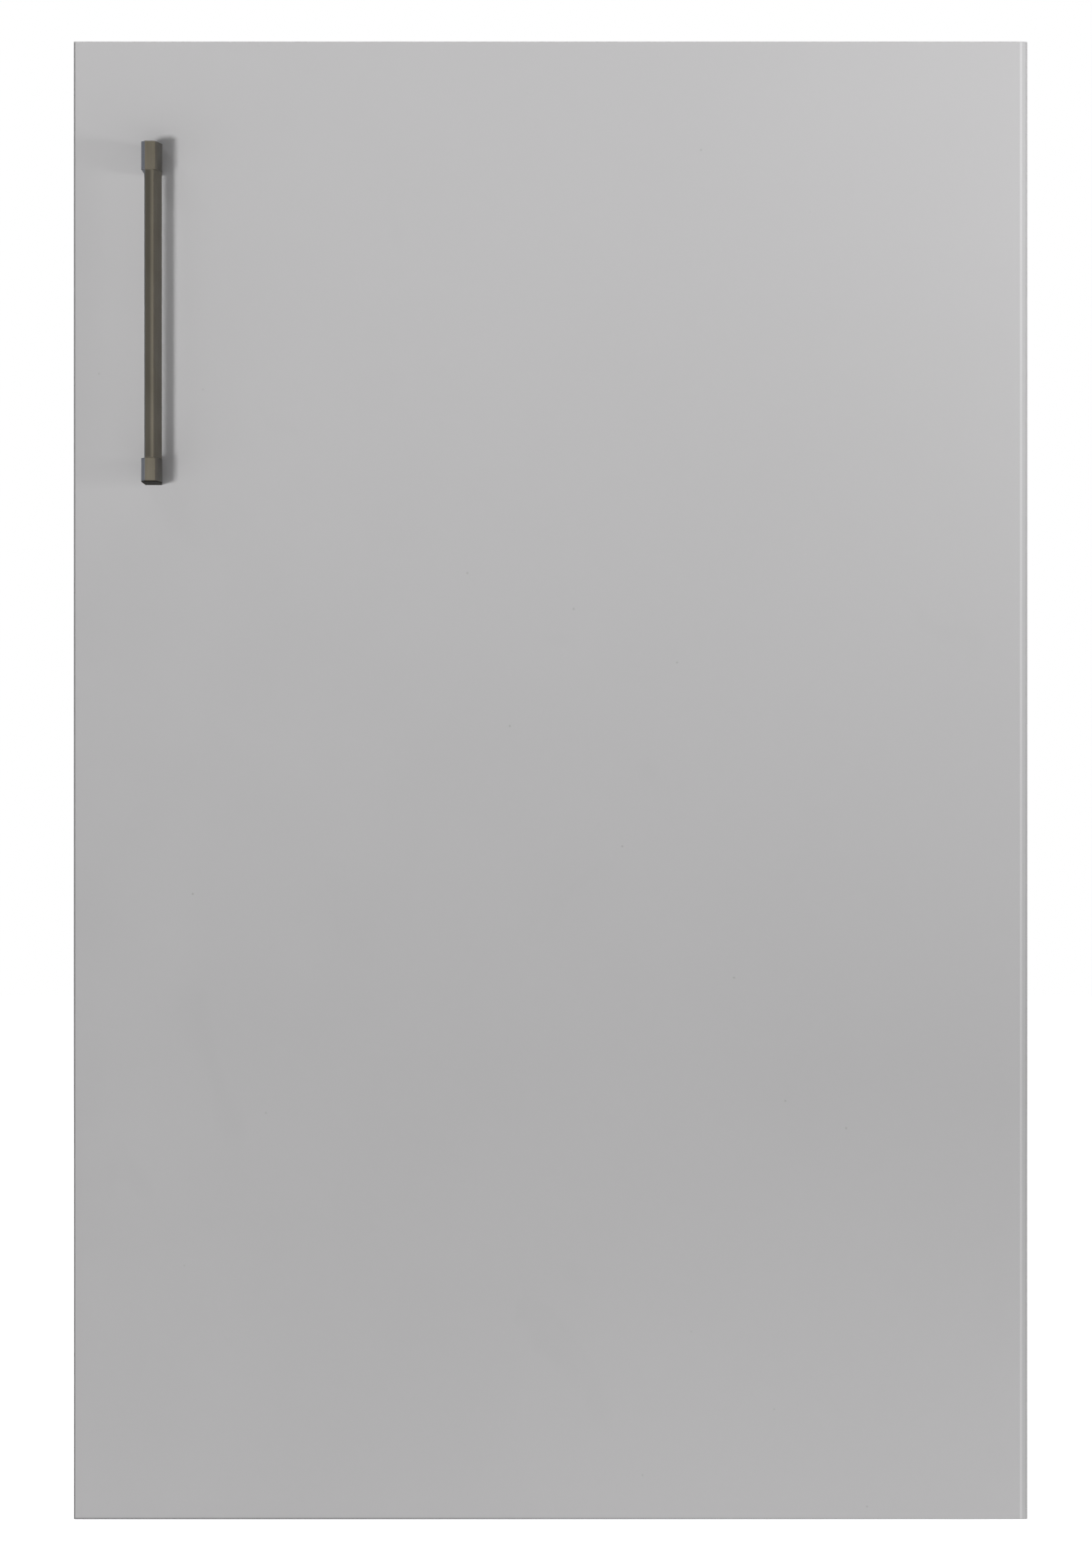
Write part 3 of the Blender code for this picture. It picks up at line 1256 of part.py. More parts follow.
def build_door():
    """Everything that swings. Its empty stands on the hinge axis."""
    steel = material("door_steel", (0.48, 0.49, 0.50), 0.38, 0.3)
    handle_metal = material("handle_metal", (0.16, 0.15, 0.14), 0.35, 0.9)
    zinc = material("screw_zinc", (0.62, 0.62, 0.60), 0.35, 1.0)
    grey_plastic = material("cap_plastic", (0.35, 0.36, 0.37), 0.45)
    white_plastic = material("door_liner_plastic", (0.86, 0.87, 0.87), 0.30)
    foam_yellow = material("door_foam_yellow", (0.78, 0.66, 0.38), 0.90)
    gasket_rubber = material("gasket_rubber", (0.62, 0.63, 0.64), 0.70)
    clear_plastic = material("rack_plastic", (0.85, 0.89, 0.91), 0.12, 0.0, 0.45)
    bush_plastic = material("bush_plastic", (0.80, 0.80, 0.78), 0.40)
    hinge = bpy.data.objects.new("door_hinge_axis", None)
    hinge.location = (HINGE_X, HINGE_Y, 0)
    bpy.context.scene.collection.objects.link(hinge)
    pieces = [door_skin(steel)]
    cap_height = 0.014
    bottom_cap_top = DOOR_BOTTOM_Z + POCKET_HEIGHT + cap_height
    top_cap_bottom = DOOR_TOP_Z - POCKET_HEIGHT - cap_height
    pocket_top = DOOR_TOP_Z - POCKET_HEIGHT
    pocket_bottom = DOOR_BOTTOM_Z + POCKET_HEIGHT
    pieces.append(door_cap("door_cap_top", top_cap_bottom, DOOR_TOP_Z - GAP, pocket_top, DOOR_TOP_Z + 0.01, grey_plastic))
    pieces.append(
        door_cap("door_cap_bottom", DOOR_BOTTOM_Z + GAP, bottom_cap_top, DOOR_BOTTOM_Z - 0.01, pocket_bottom, grey_plastic)
    )
    pieces.append(hinge_bush("hinge_bush_top", top_cap_bottom, pocket_top, bush_plastic))
    pieces.append(hinge_bush("hinge_bush_bottom", pocket_bottom, bottom_cap_top, bush_plastic))
    pieces.append(door_foam(bottom_cap_top + GAP, top_cap_bottom - GAP, foam_yellow))
    pieces.append(door_liner(white_plastic))
    pieces.append(door_gasket(gasket_rubber))
    pieces.append(door_handle(handle_metal))
    for name, z in zip(("upper", "lower"), handle_screw_heights()):
        pieces.append(handle_screw(f"handle_screw_{name}", z, zinc))
    for name, floor in RACK_FLOORS.items():
        pieces.append(door_rack(f"door_rack_{name}", floor, RACK_HEIGHTS[name], clear_plastic))
    bpy.context.view_layer.update()
    for piece in pieces:
        piece.parent = hinge
        piece.matrix_parent_inverse = hinge.matrix_world.inverted()


clear_scene()
build_cabinet()
build_furniture()
build_machine()
build_door()
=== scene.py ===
"""The looks of the undercounter refrigerator: meshes, finishes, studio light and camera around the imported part.

Metres, +Z up, in the part's own frame: the front faces -Y, and the origin is on the floor below its middle.
"""

import json
import math

import bmesh
import bpy
from mathutils import Matrix, Vector

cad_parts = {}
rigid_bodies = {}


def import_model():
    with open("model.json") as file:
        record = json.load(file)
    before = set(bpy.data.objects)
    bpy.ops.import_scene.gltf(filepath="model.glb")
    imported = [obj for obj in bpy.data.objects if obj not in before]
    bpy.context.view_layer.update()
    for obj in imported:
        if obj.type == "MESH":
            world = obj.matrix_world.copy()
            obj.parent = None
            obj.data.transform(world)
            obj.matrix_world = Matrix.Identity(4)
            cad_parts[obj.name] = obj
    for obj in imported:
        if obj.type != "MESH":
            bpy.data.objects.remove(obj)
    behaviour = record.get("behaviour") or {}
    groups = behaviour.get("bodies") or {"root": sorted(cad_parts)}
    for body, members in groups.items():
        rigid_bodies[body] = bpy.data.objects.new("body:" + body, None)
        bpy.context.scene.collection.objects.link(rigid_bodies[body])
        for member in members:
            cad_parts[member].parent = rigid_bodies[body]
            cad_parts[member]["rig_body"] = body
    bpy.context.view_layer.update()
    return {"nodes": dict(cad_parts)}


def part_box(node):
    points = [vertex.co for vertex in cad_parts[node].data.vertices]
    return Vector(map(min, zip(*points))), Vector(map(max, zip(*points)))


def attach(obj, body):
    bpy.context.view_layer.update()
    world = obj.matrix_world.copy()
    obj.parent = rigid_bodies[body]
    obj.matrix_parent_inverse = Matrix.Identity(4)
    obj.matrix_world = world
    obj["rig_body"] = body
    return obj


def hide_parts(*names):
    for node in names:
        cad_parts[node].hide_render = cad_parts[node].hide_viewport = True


for start_up in list(bpy.data.objects):
    bpy.data.objects.remove(start_up)
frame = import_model()
NODES = frame["nodes"]
SLOTS = {name: node.data.materials[0].name for name, node in NODES.items()}
TAU = 2 * math.pi
GAP = 0.0003


# Materials


def add_node(tree, kind, sockets=None, **settings):
    """A shader node with its settings, and its sockets set to a value or linked to another node's output."""
    made = tree.nodes.new(kind)
    for name, value in settings.items():
        setattr(made, name, value)
    for name, value in (sockets or {}).items():
        if isinstance(value, bpy.types.NodeSocket):
            tree.links.new(value, made.inputs[name])
        else:
            made.inputs[name].default_value = value
    return made


class Finish:
    """One material, with short ways to add procedural detail in the object's own coordinates."""

    def __init__(self, name, roughness, metallic=0.0, constants=None):
        self.material = bpy.data.materials.new(name)
        self.material.use_nodes = True
        self.tree = self.material.node_tree
        self.shader = self.tree.nodes["Principled BSDF"]
        self.place = add_node(self.tree, "ShaderNodeTexCoord").outputs["Object"]
        self.shader.inputs["Roughness"].default_value = roughness
        self.shader.inputs["Metallic"].default_value = metallic
        for socket, value in (constants or {}).items():
            self.shader.inputs[socket].default_value = value

    def link(self, value, socket):
        self.tree.links.new(value, self.shader.inputs[socket])

    def stretched(self, stretch):
        sockets = {"Vector": self.place, "Scale": stretch}
        return add_node(self.tree, "ShaderNodeMapping", sockets).outputs["Vector"]

    def noise(self, scale, detail=2.0, stretch=(1, 1, 1), distortion=0.0):
        sockets = {"Vector": self.stretched(stretch), "Scale": scale, "Detail": detail}
        sockets["Distortion"] = distortion
        return add_node(self.tree, "ShaderNodeTexNoise", sockets).outputs["Fac"]

    def cells(self, scale, output="Distance", stretch=(1, 1, 1)):
        sockets = {"Vector": self.stretched(stretch), "Scale": scale}
        return add_node(self.tree, "ShaderNodeTexVoronoi", sockets).outputs[output]

    def remap(self, value, low, high, to_low, to_high):
        sockets = {"Value": value, "From Min": low, "From Max": high, "To Min": to_low, "To Max": to_high}
        return add_node(self.tree, "ShaderNodeMapRange", sockets).outputs["Result"]

    def maths(self, operation, first, second):
        made = add_node(self.tree, "ShaderNodeMath", operation=operation)
        for index, value in enumerate((first, second)):
            if isinstance(value, bpy.types.NodeSocket):
                self.tree.links.new(value, made.inputs[index])
            else:
                made.inputs[index].default_value = value
        return made.outputs[0]

    def times(self, first, second):
        return self.maths("MULTIPLY", first, second)

    def rise(self, value, low, high):
        """0 up to low, 1 from high on."""
        return self.remap(value, low, high, 0.0, 1.0)

    def fall(self, value, low, high):
        """1 up to low, 0 from high on."""
        return self.remap(value, low, high, 1.0, 0.0)

    def band(self, value, low, high, soft):
        """1 where value lies between low and high, falling to 0 within soft on either side."""
        return self.maths("MINIMUM", self.rise(value, low - soft, low), self.fall(value, high, high + soft))

    def axis(self, name):
        return add_node(self.tree, "ShaderNodeSeparateXYZ", {"Vector": self.place}).outputs[name]

    def ramp(self, value, stops):
        """A colour that follows value through stops of (place, colour)."""
        made = add_node(self.tree, "ShaderNodeValToRGB", {"Fac": value})
        elements = made.color_ramp.elements
        while len(elements) < len(stops):
            elements.new(1.0)
        for element, (place, colour) in zip(elements, stops):
            element.position = place
            element.color = (*colour, 1.0)
        return made.outputs["Color"]

    def mix(self, factor, first, second):
        """A blend of two colours. Each is a colour value or another node's output."""
        made = add_node(self.tree, "ShaderNodeMix", data_type="RGBA")
        for index, value in ((0, factor), (6, first), (7, second)):
            if isinstance(value, bpy.types.NodeSocket):
                self.tree.links.new(value, made.inputs[index])
            else:
                made.inputs[index].default_value = value if index == 0 else (*value, 1.0)
        return made.outputs[2]

    def colour(self, value):
        self.link(value, "Base Color")

    def roughness(self, value):
        self.link(value, "Roughness")

    def bumps(self, *heights):
        """Layers of (height, depth in metres) as one surface normal. It comes last and gives the material."""
        normal = None
        for height, depth in heights:
            sockets = {"Height": height, "Distance": depth, "Strength": 1.0}
            if normal is not None:
                sockets["Normal"] = normal
            normal = add_node(self.tree, "ShaderNodeBump", sockets).outputs["Normal"]
        self.link(normal, "Normal")
        return self.material


def shade(colour, factor):
    return tuple(min(1.0, part * factor) for part in colour)


def moulded(name, colour, roughness, variation=0.05, grain=900, depth=8e-6, constants=None):
    """Plastic or rubber with a slightly uneven colour, a moulded texture and a few dull and dusty patches."""
    made = Finish(name, roughness, 0.0, constants)
    blotch = made.noise(7, 4.0)
    base = made.ramp(blotch, [(0.3, shade(colour, 1 - variation)), (0.7, shade(colour, 1 + variation))])
    dust = made.remap(made.noise(24, 5.0, distortion=0.6), 0.6, 0.76, 0.0, 1.2 * variation)
    made.colour(made.mix(dust, base, shade((0.55, 0.53, 0.5), 0.5 + sum(colour) / 3)))
    made.roughness(made.remap(made.noise(40, 3.0), 0.3, 0.7, roughness - 0.06, roughness + 0.07))
    return made.bumps((made.noise(grain, 2.0), depth), (made.noise(30, 2.0), depth * 4))


def coated_steel(name, colour, roughness, grain=1500, depth=5e-6):
    """Powder-coated sheet: orange peel, faint mottling and fine scuffs along its length."""
    made = Finish(name, roughness)
    mottle = made.noise(5, 5.0)
    base = made.ramp(mottle, [(0.3, shade(colour, 0.965)), (0.7, shade(colour, 1.03))])
    scuffs = made.remap(made.noise(60, 4.0, (1, 1, 0.08)), 0.66, 0.74, 0.0, 0.1)
    made.colour(made.mix(scuffs, base, shade(colour, 0.72)))
    made.roughness(made.remap(made.noise(18, 4.0), 0.3, 0.7, roughness - 0.05, roughness + 0.06))
    return made.bumps((made.noise(grain, 2.0), depth), (made.noise(160, 2.0), depth * 3))


def plated(name, colour, roughness, stretch=(1, 1, 1), grain=600, depth=4e-6, tarnish=(0.32, 0.29, 0.25)):
    """Bare or plated metal: drawn grain, cloudy tarnish and a roughness that varies with it."""
    made = Finish(name, roughness, 1.0)
    cloud = made.noise(22, 5.0, distortion=0.4)
    base = made.ramp(cloud, [(0.3, shade(colour, 0.86)), (0.68, colour)])
    old = made.remap(made.noise(55, 6.0), 0.58, 0.76, 0.0, 0.55)
    made.colour(made.mix(old, base, tarnish))
    made.roughness(made.remap(cloud, 0.25, 0.75, roughness + 0.12, roughness - 0.04))
    return made.bumps((made.noise(grain, 3.0, stretch), depth))


def door_paint():
    """Satin grey on a smooth steel skin, faintly smudged and dusty, with a painted highlight and painted shade
    along its edges.
    """
    made = Finish("door_steel_finish", 0.56, 0.0, {"Specular IOR Level": 0.3})
    base = made.ramp(made.noise(3.2, 3.0), [(0.3, shade(DOOR_GREY, 0.985)), (0.7, shade(DOOR_GREY, 1.012))])
    smudge = made.remap(made.noise(13, 3.0, (1, 1, 0.7), 0.8), 0.665, 0.76, 0.0, 0.12)
    smudged = made.mix(smudge, base, shade(DOOR_GREY, 0.8))
    speck = made.remap(made.cells(46), 0.016, 0.034, 0.26, 0.0)
    chosen = made.times(speck, made.rise(made.noise(9, 1.0), 0.54, 0.6))
    dusty = made.mix(chosen, smudged, (0.1, 0.09, 0.08))
    across, up = made.axis("X"), made.axis("Z")
    ahead = made.fall(made.axis("Y"), *DOOR_FACE)
    # painted highlight: a brighter band along the crease where the right strip leans back
    ridge = made.times(made.band(across, *RIGHT_CREASE_HIGHLIGHT), ahead)
    # painted shade: the outer part of the right strip darkened
    strip = made.times(made.rise(across, *RIGHT_STRIP_SHADE), ahead)
    # painted shade: the left fold darkened
    fold = made.times(made.fall(across, *LEFT_EDGE_SHADE), ahead)
    # painted shade along the bottom edge, fading out towards the right
    bottom_shade = made.times(made.fall(up, *BOTTOM_EDGE_SHADE), made.fall(across, -0.1, 0.22))
    painted_edges = made.mix(ridge, dusty, shade(DOOR_GREY, 1.2))
    painted_edges = made.mix(strip, painted_edges, shade(DOOR_GREY, 0.8))
    painted_edges = made.mix(fold, painted_edges, shade(DOOR_GREY, 0.45))
    made.colour(made.mix(made.times(bottom_shade, ahead), painted_edges, shade(DOOR_GREY, 0.5)))
    made.roughness(made.remap(made.noise(16, 4.0), 0.3, 0.7, 0.53, 0.6))
    return made.bumps((made.noise(1100, 2.0), 2.5e-6), (made.noise(140, 2.0), 6e-6))


def spangled():
    """Hot-dip zinc: crystals of uneven brightness, dull white patches and rolling marks."""
    made = Finish("galvanised_finish", 0.42, 1.0)
    crystal = made.cells(150, "Color", (1, 1, 0.8))
    bright = made.ramp(crystal, [(0.1, (0.4, 0.41, 0.42)), (0.5, (0.5, 0.51, 0.52)),
                                 (0.9, (0.62, 0.63, 0.64))])
    cloudy = made.remap(made.noise(9, 5.0), 0.52, 0.75, 0.0, 0.4)
    made.colour(made.mix(cloudy, bright, (0.55, 0.55, 0.54)))
    made.roughness(made.remap(crystal, 0.1, 0.9, 0.34, 0.52))
    return made.bumps((made.cells(150, "Distance", (1, 1, 0.8)), 1.2e-5),
                      (made.noise(300, 3.0, (0.1, 1, 1)), 6e-6))


def drawn_copper():
    made = Finish("copper_finish", 0.34, 1.0)
    oxide = made.noise(38, 6.0, distortion=0.7)
    base = made.ramp(oxide, [(0.32, (0.86, 0.5, 0.34)), (0.52, (0.7, 0.36, 0.23)), (0.7, (0.33, 0.17, 0.11))])
    made.colour(base)
    made.roughness(made.remap(oxide, 0.3, 0.7, 0.26, 0.5))
    return made.bumps((made.noise(420, 3.0), 1e-5))


def foamed():
    """Cut rigid foam: open cells, uneven yellow."""
    made = Finish("foam_finish", 0.9)
    base = made.ramp(made.noise(35, 5.0), [(0.3, (0.66, 0.52, 0.25)), (0.7, (0.83, 0.72, 0.43))])
    pore = made.cells(900)
    # painted shade: the centres of the open cells are darker, as shade in the pores
    made.colour(made.mix(made.remap(pore, 0.1, 0.4, 0.45, 0.0), base, (0.45, 0.33, 0.14)))
    return made.bumps((pore, 3e-4), (made.noise(60, 3.0), 4e-4))


def handle_metal():
    """Dark satin metal, brushed along the bar, with painted light and shade: a cooler painted highlight on the
    left edge, a painted dark band along the bar, painted shade on the right flank and a black painted shadow
    under its foot.
    """
    made = Finish("handle_finish", 0.5, 0.45, {"Specular IOR Level": 0.35})
    brush = made.noise(900, 3.0, (1, 1, 0.03))
    base = made.ramp(brush, [(0.3, shade(HANDLE_DARK, 0.9)), (0.7, shade(HANDLE_DARK, 1.1))])
    worn = made.remap(made.noise(70, 5.0), 0.55, 0.75, 0.0, 0.18)
    metal = made.mix(worn, base, shade(HANDLE_DARK, 1.6))
    across, up = made.axis("X"), made.axis("Z")
    left, right, foot = HANDLE_LOW.x, HANDLE_HIGH.x, HANDLE_LOW.z
    # painted shade: a dark band along the bar between the end blocks, for the shading of its rounded face
    bar_shade_band = made.band(across, left + 0.003, left + 0.0046, 0.0012)
    between = made.band(up, foot + 0.0125, HANDLE_HIGH.z - 0.0152, 0.0006)
    bar_shaded = made.mix(made.times(bar_shade_band, between), metal, shade(HANDLE_DARK, 0.45))
    # painted shade on the right flank, stronger on the end blocks than on the bar
    flank = made.rise(across, right - 0.0026, right - 0.0012)
    ends = made.remap(between, 0.0, 1.0, 0.85, 0.25)
    right_side_shaded = made.mix(made.times(flank, ends), bar_shaded, shade(HANDLE_DARK, 0.35))
    # painted highlight: the left edge takes a cooler, lighter colour, as if lit from the left
    painted_edges = made.mix(made.fall(across, left + 0.0018, left + 0.0024), right_side_shaded, HANDLE_LEFT_HIGHLIGHT)
    # painted shadow: black beneath the handle's foot, with full roughness there
    foot_painted_shadow = made.fall(up, foot - 0.0003, foot + 0.0004)
    made.colour(made.mix(foot_painted_shadow, painted_edges, shade(HANDLE_DARK, 0.12)))
    made.roughness(made.maths("MAXIMUM", made.remap(made.noise(50, 4.0), 0.3, 0.7, 0.44, 0.56), foot_painted_shadow))
    return made.bumps((brush, 5e-6), (made.noise(500, 2.0), 3e-6))


def glazing(name, tint, roughness, ior, alpha):
    """Clear sheet or moulding with light fingermarks and a faint flow in its surface."""
    made = Finish(name, roughness, 0.0, {"IOR": ior, "Alpha": alpha})
    marks = made.noise(26, 5.0, distortion=1.0)
    made.colour(made.ramp(marks, [(0.35, tint), (0.7, shade(tint, 0.94))]))
    made.roughness(made.remap(marks, 0.5, 0.75, roughness, roughness + 0.1))
    return made.bumps((made.noise(14, 2.0), 1.5e-5))


def translucent(name, tint, roughness, transmission, grain, depth):
    """Milky plastic or opal glass that lets part of the light through."""
    settings = {"Transmission Weight": transmission, "IOR": 1.46, "Subsurface Weight": 0.15}
    made = Finish(name, roughness, 0.0, settings)
    cloud = made.noise(18, 4.0)
    made.colour(made.ramp(cloud, [(0.3, shade(tint, 0.96)), (0.7, tint)]))
    made.roughness(made.remap(cloud, 0.3, 0.7, roughness - 0.04, roughness + 0.06))
    return made.bumps((made.noise(grain, 2.0), depth))


def printed_ink():
    made = Finish("ink_finish", 0.55)
    made.colour(made.ramp(made.noise(900, 3.0), [(0.35, (0.1, 0.11, 0.12)), (0.65, (0.17, 0.18, 0.19))]))
    return made.bumps((made.noise(2400, 2.0), 4e-6))


def studio_floor():
    """Pale seamless paper, bright enough to lose its shadows: it glows more strongly near the refrigerator than
    far in front of it, and that glow also lights the door from below; where the refrigerator covers it the glow
    drops, which paints shade beneath it.
    """
    made = Finish("floor_finish", 0.85, 0.0, {"Specular IOR Level": 0.1, "Emission Color": (1, 1, 1, 1)})
    depth = made.axis("Y")
    glow = made.remap(depth, -0.75, -0.4, *FLOOR_GLOW)
    # painted shade: the glow drops under the refrigerator's footprint, which leaves a dark line below the door
    across = made.remap(made.maths("ABSOLUTE", made.axis("X"), 0.0), 0.245, 0.251, SHADE_GLOW_UNDER_REFRIGERATOR, 1.0)
    beyond = made.maths("MAXIMUM", across, made.fall(depth, -0.231, -0.228))
    open_floor = made.maths("MAXIMUM", beyond, made.rise(depth, 0.2, 0.24))
    made.link(made.times(glow, open_floor), "Emission Strength")
    made.colour(made.ramp(made.noise(2.0, 4.0), [(0.3, (0.84, 0.84, 0.84)), (0.7, (0.88, 0.88, 0.88))]))
    return made.bumps((made.noise(900, 3.0), 2e-5))


DOOR_GREY = (0.454, 0.4495, 0.454)
DOOR_FACE = (-0.2635, -0.2625)
# Bands on the door's front for painted light and shade: a painted highlight on the right crease, and painted
# shade on the right strip, the left fold and the bottom edge.
RIGHT_CREASE_HIGHLIGHT = (0.2461, 0.247, 0.0003)
RIGHT_STRIP_SHADE = (0.2488, 0.2494)
LEFT_EDGE_SHADE = (-0.2494, -0.2489)
BOTTOM_EDGE_SHADE = (0.0053, 0.0064)
HANDLE_LOW, HANDLE_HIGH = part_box("door_handle")
HANDLE_DARK = (0.11, 0.097, 0.072)
# the cooler colour of the painted highlight on the handle's left edge
HANDLE_LEFT_HIGHLIGHT = (0.116, 0.125, 0.148)
WHITE = (0.8, 0.81, 0.81)
FLOOR_GLOW = (0.5, 0.98)
# the floor's glow under the refrigerator, kept low to paint shade there
SHADE_GLOW_UNDER_REFRIGERATOR = 0.14

FINISHES = {
    "door_steel": door_paint(),
    "handle_metal": handle_metal(),
    "cabinet_sheet": coated_steel("cabinet_sheet_finish", (0.43, 0.432, 0.436), 0.44),
    "galvanised_steel": spangled(),
    "liner_plastic": moulded("liner_finish", WHITE, 0.32, 0.005, 700, 3e-6,
                             {"Coat Weight": 0.15, "Coat Roughness": 0.2}),
    "white_plastic": moulded("white_plastic_finish", WHITE, 0.36, 0.007, 1400, 6e-6),
    "foam": foamed(),
    "evaporator_aluminium": plated("aluminium_finish", (0.78, 0.79, 0.8), 0.3, (1, 1, 0.05)),
    "dark_plastic": moulded("dark_plastic_finish", (0.035, 0.035, 0.038), 0.48, 0.12, 1300, 2e-5),
    "black_steel": coated_steel("black_steel_finish", (0.018, 0.018, 0.019), 0.36, 900, 8e-6),
    "mount_rubber": moulded("rubber_finish", (0.022, 0.022, 0.022), 0.72, 0.15, 700, 4e-5),
    "copper": drawn_copper(),
    "zinc_plate": plated("zinc_finish", (0.66, 0.66, 0.63), 0.3, (1, 1, 1), 900),
    "lens": translucent("lens_finish", (0.9, 0.92, 0.91), 0.3, 0.55, 1800, 1.5e-5),
    "lamp_glass": translucent("lamp_glass_finish", (0.95, 0.94, 0.89), 0.22, 0.4, 600, 2e-6),
    "shelf_glass": glazing("shelf_glass_finish", (0.62, 0.8, 0.74), 0.03, 1.5, 0.34),
    "clear_plastic": glazing("clear_plastic_finish", (0.8, 0.85, 0.87), 0.08, 1.46, 0.32),
    "gasket_rubber": moulded("gasket_finish", (0.52, 0.53, 0.54), 0.62, 0.04, 900, 1.5e-5),
    "cap_plastic": moulded("cap_finish", (0.25, 0.26, 0.27), 0.46, 0.07, 1200, 2e-5),
    "bush_plastic": moulded("bush_finish", (0.74, 0.74, 0.71), 0.4, 0.04),
}
INK = printed_ink()


# Mesh tools


def to_object(name, bm):
    mesh = bpy.data.meshes.new(name)
    bm.to_mesh(mesh)
    bm.free()
    made = bpy.data.objects.new(name, mesh)
    bpy.context.scene.collection.objects.link(made)
    return made


def add_piece(name, bm, node, shown_for=True, finish=None, rounding=None, angle=34):
    """A piece that rides and is finished like a CAD node, and by default is shown in its place.

    rounding is the (width, segments) of its rounded edges.
    """
    bmesh.ops.recalc_face_normals(bm, faces=bm.faces)
    made = to_object(name, bm)
    made.data.materials.append(finish or FINISHES[SLOTS[node]])
    made.data.shade_smooth()
    if rounding:
        width, segments = rounding
        edge = made.modifiers.new("Bevel", "BEVEL")
        edge.width = width
        edge.segments = segments
        edge.limit_method = "ANGLE"
        edge.angle_limit = math.radians(angle)
        edge.harden_normals = True
    else:
        made.data.set_sharp_from_angle(angle=math.radians(angle))
    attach(made, NODES[node]["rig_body"])
    if shown_for:
        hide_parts(node)


def refined(name, node, rounding, angle=34):
    """A CAD node's own shape, with its facets merged and its edges rounded."""
    bm = bmesh.new()
    bm.from_mesh(NODES[node].data)
    bmesh.ops.remove_doubles(bm, verts=bm.verts, dist=2e-6)
    bmesh.ops.dissolve_limit(bm, angle_limit=math.radians(0.6), verts=bm.verts, edges=bm.edges)
    add_piece(name, bm, node, rounding=rounding, angle=angle)


def centre_of(node, *axes):
    """The middle of a CAD node's box along the given axes, and 0 along the others."""
    low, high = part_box(node)
    return tuple((low[axis] + high[axis]) / 2 if "XYZ"[axis] in axes else 0 for axis in range(3))


def modified(bm, kind, **settings):
    """The mesh after one modifier."""
    holder = to_object("working", bm)
    modifier = holder.modifiers.new(kind.title(), kind)
    for name, value in settings.items():
        setattr(modifier, name, value)
    result = bmesh.new()
    result.from_object(holder, bpy.context.evaluated_depsgraph_get())
    bpy.data.objects.remove(holder)
    return result


def combined(bm, others, operation):
    """The mesh after a Boolean with each of the others in turn."""
    for other in others:
        bmesh.ops.recalc_face_normals(bm, faces=bm.faces)
        bmesh.ops.recalc_face_normals(other, faces=other.faces)
        tool = to_object("tool", other)
        bm = modified(bm, "BOOLEAN", operation=operation, solver="EXACT", object=tool)
        bpy.data.objects.remove(tool)
    return bm


def carved(bm, *others):
    return combined(bm, others, "DIFFERENCE")


def united(bm, *others):
    return combined(bm, others, "UNION")


def joined(*parts):
    """Several meshes as one, with nothing merged."""
    whole = bmesh.new()
    for part in parts:
        mesh = bpy.data.meshes.new("working")
        part.to_mesh(mesh)
        part.free()
        whole.from_mesh(mesh)
        bpy.data.meshes.remove(mesh)
    return whole


def moved(bm, matrix):
    bmesh.ops.transform(bm, matrix=matrix, verts=bm.verts)
    return bm


def along(axis, first, second, place):
    """A point from two coordinates across an axis and one along it."""
    if axis == "X":
        return (place, first, second)
    if axis == "Y":
        return (first, place, second)
    return (first, second, place)


def loft(rings, closed=False):
    """A skin through rings of equal counts, capped at both ends or joined from last to first."""
    bm = bmesh.new()
    made = [[bm.verts.new(point) for point in ring] for ring in rings]
    pairs = list(zip(made, made[1:]))
    if closed:
        pairs.append((made[-1], made[0]))
    for first, second in pairs:
        for index in range(len(first)):
            following = (index + 1) % len(first)
            bm.faces.new((first[index], first[following], second[following], second[index]))
    if not closed:
        bm.faces.new(made[0])
        bm.faces.new(made[-1])
    return bm


def extruded(outline, axis, start, end):
    """A straight solid from an outline in the two axes across the given one."""
    return loft([[along(axis, a, b, place) for a, b in outline] for place in (start, end)])


def turned(profile, centre, axis, sides=64, stretch=(1.0, 1.0), closed=False, waves=0, wave_depth=0.0):
    """A lathe-turned solid from (radius, place) points. waves gives its rim that many flutes."""
    rings = []
    for radius, place in profile:
        ring = []
        for side in range(sides):
            angle = TAU * side / sides
            reach = radius - wave_depth * (0.5 - 0.5 * math.cos(waves * angle)) * (radius > 4 * wave_depth)
            a, b = reach * math.cos(angle) * stretch[0], reach * math.sin(angle) * stretch[1]
            ring.append(Vector(centre) + Vector(along(axis, a, b, place)))
        rings.append(ring)
    return loft(rings, closed)


def dome(radius, start, height, steps=8, tip=0.02):
    """Profile points of an elliptical dome from its rim at start to a nearly closed tip."""
    points = []
    for step in range(steps + 1):
        angle = math.pi / 2 * step / steps
        points.append((max(radius * math.cos(angle), radius * tip), start + height * math.sin(angle)))
    return points


def block(low, high, radius, segments=3):
    """A box with rounded edges."""
    bm = bmesh.new()
    bmesh.ops.create_cube(bm, size=1.0)
    for vert in bm.verts:
        vert.co = [low[axis] if vert.co[axis] < 0 else high[axis] for axis in range(3)]
    bmesh.ops.bevel(bm, geom=bm.edges[:], offset=radius, segments=segments, profile=0.5, affect="EDGES")
    return bm


def rounded_rectangle(low, high, radius, steps):
    """Points of a rectangle with rounded corners, anticlockwise."""
    centres = ((high[0] - radius, high[1] - radius), (low[0] + radius, high[1] - radius))
    centres += ((low[0] + radius, low[1] + radius), (high[0] - radius, low[1] + radius))
    points = []
    for quarter, (a, b) in enumerate(centres):
        for step in range(steps + 1):
            angle = math.pi / 2 * (quarter + step / steps)
            points.append((a + radius * math.cos(angle), b + radius * math.sin(angle)))
    return points


def drawn_in(low, high, inset, radius, steps):
    """A rounded rectangle that is smaller by inset on every side."""
    inner_low = (low[0] + inset, low[1] + inset)
    inner_high = (high[0] - inset, high[1] - inset)
    return rounded_rectangle(inner_low, inner_high, max(radius - inset, 0.001), steps)


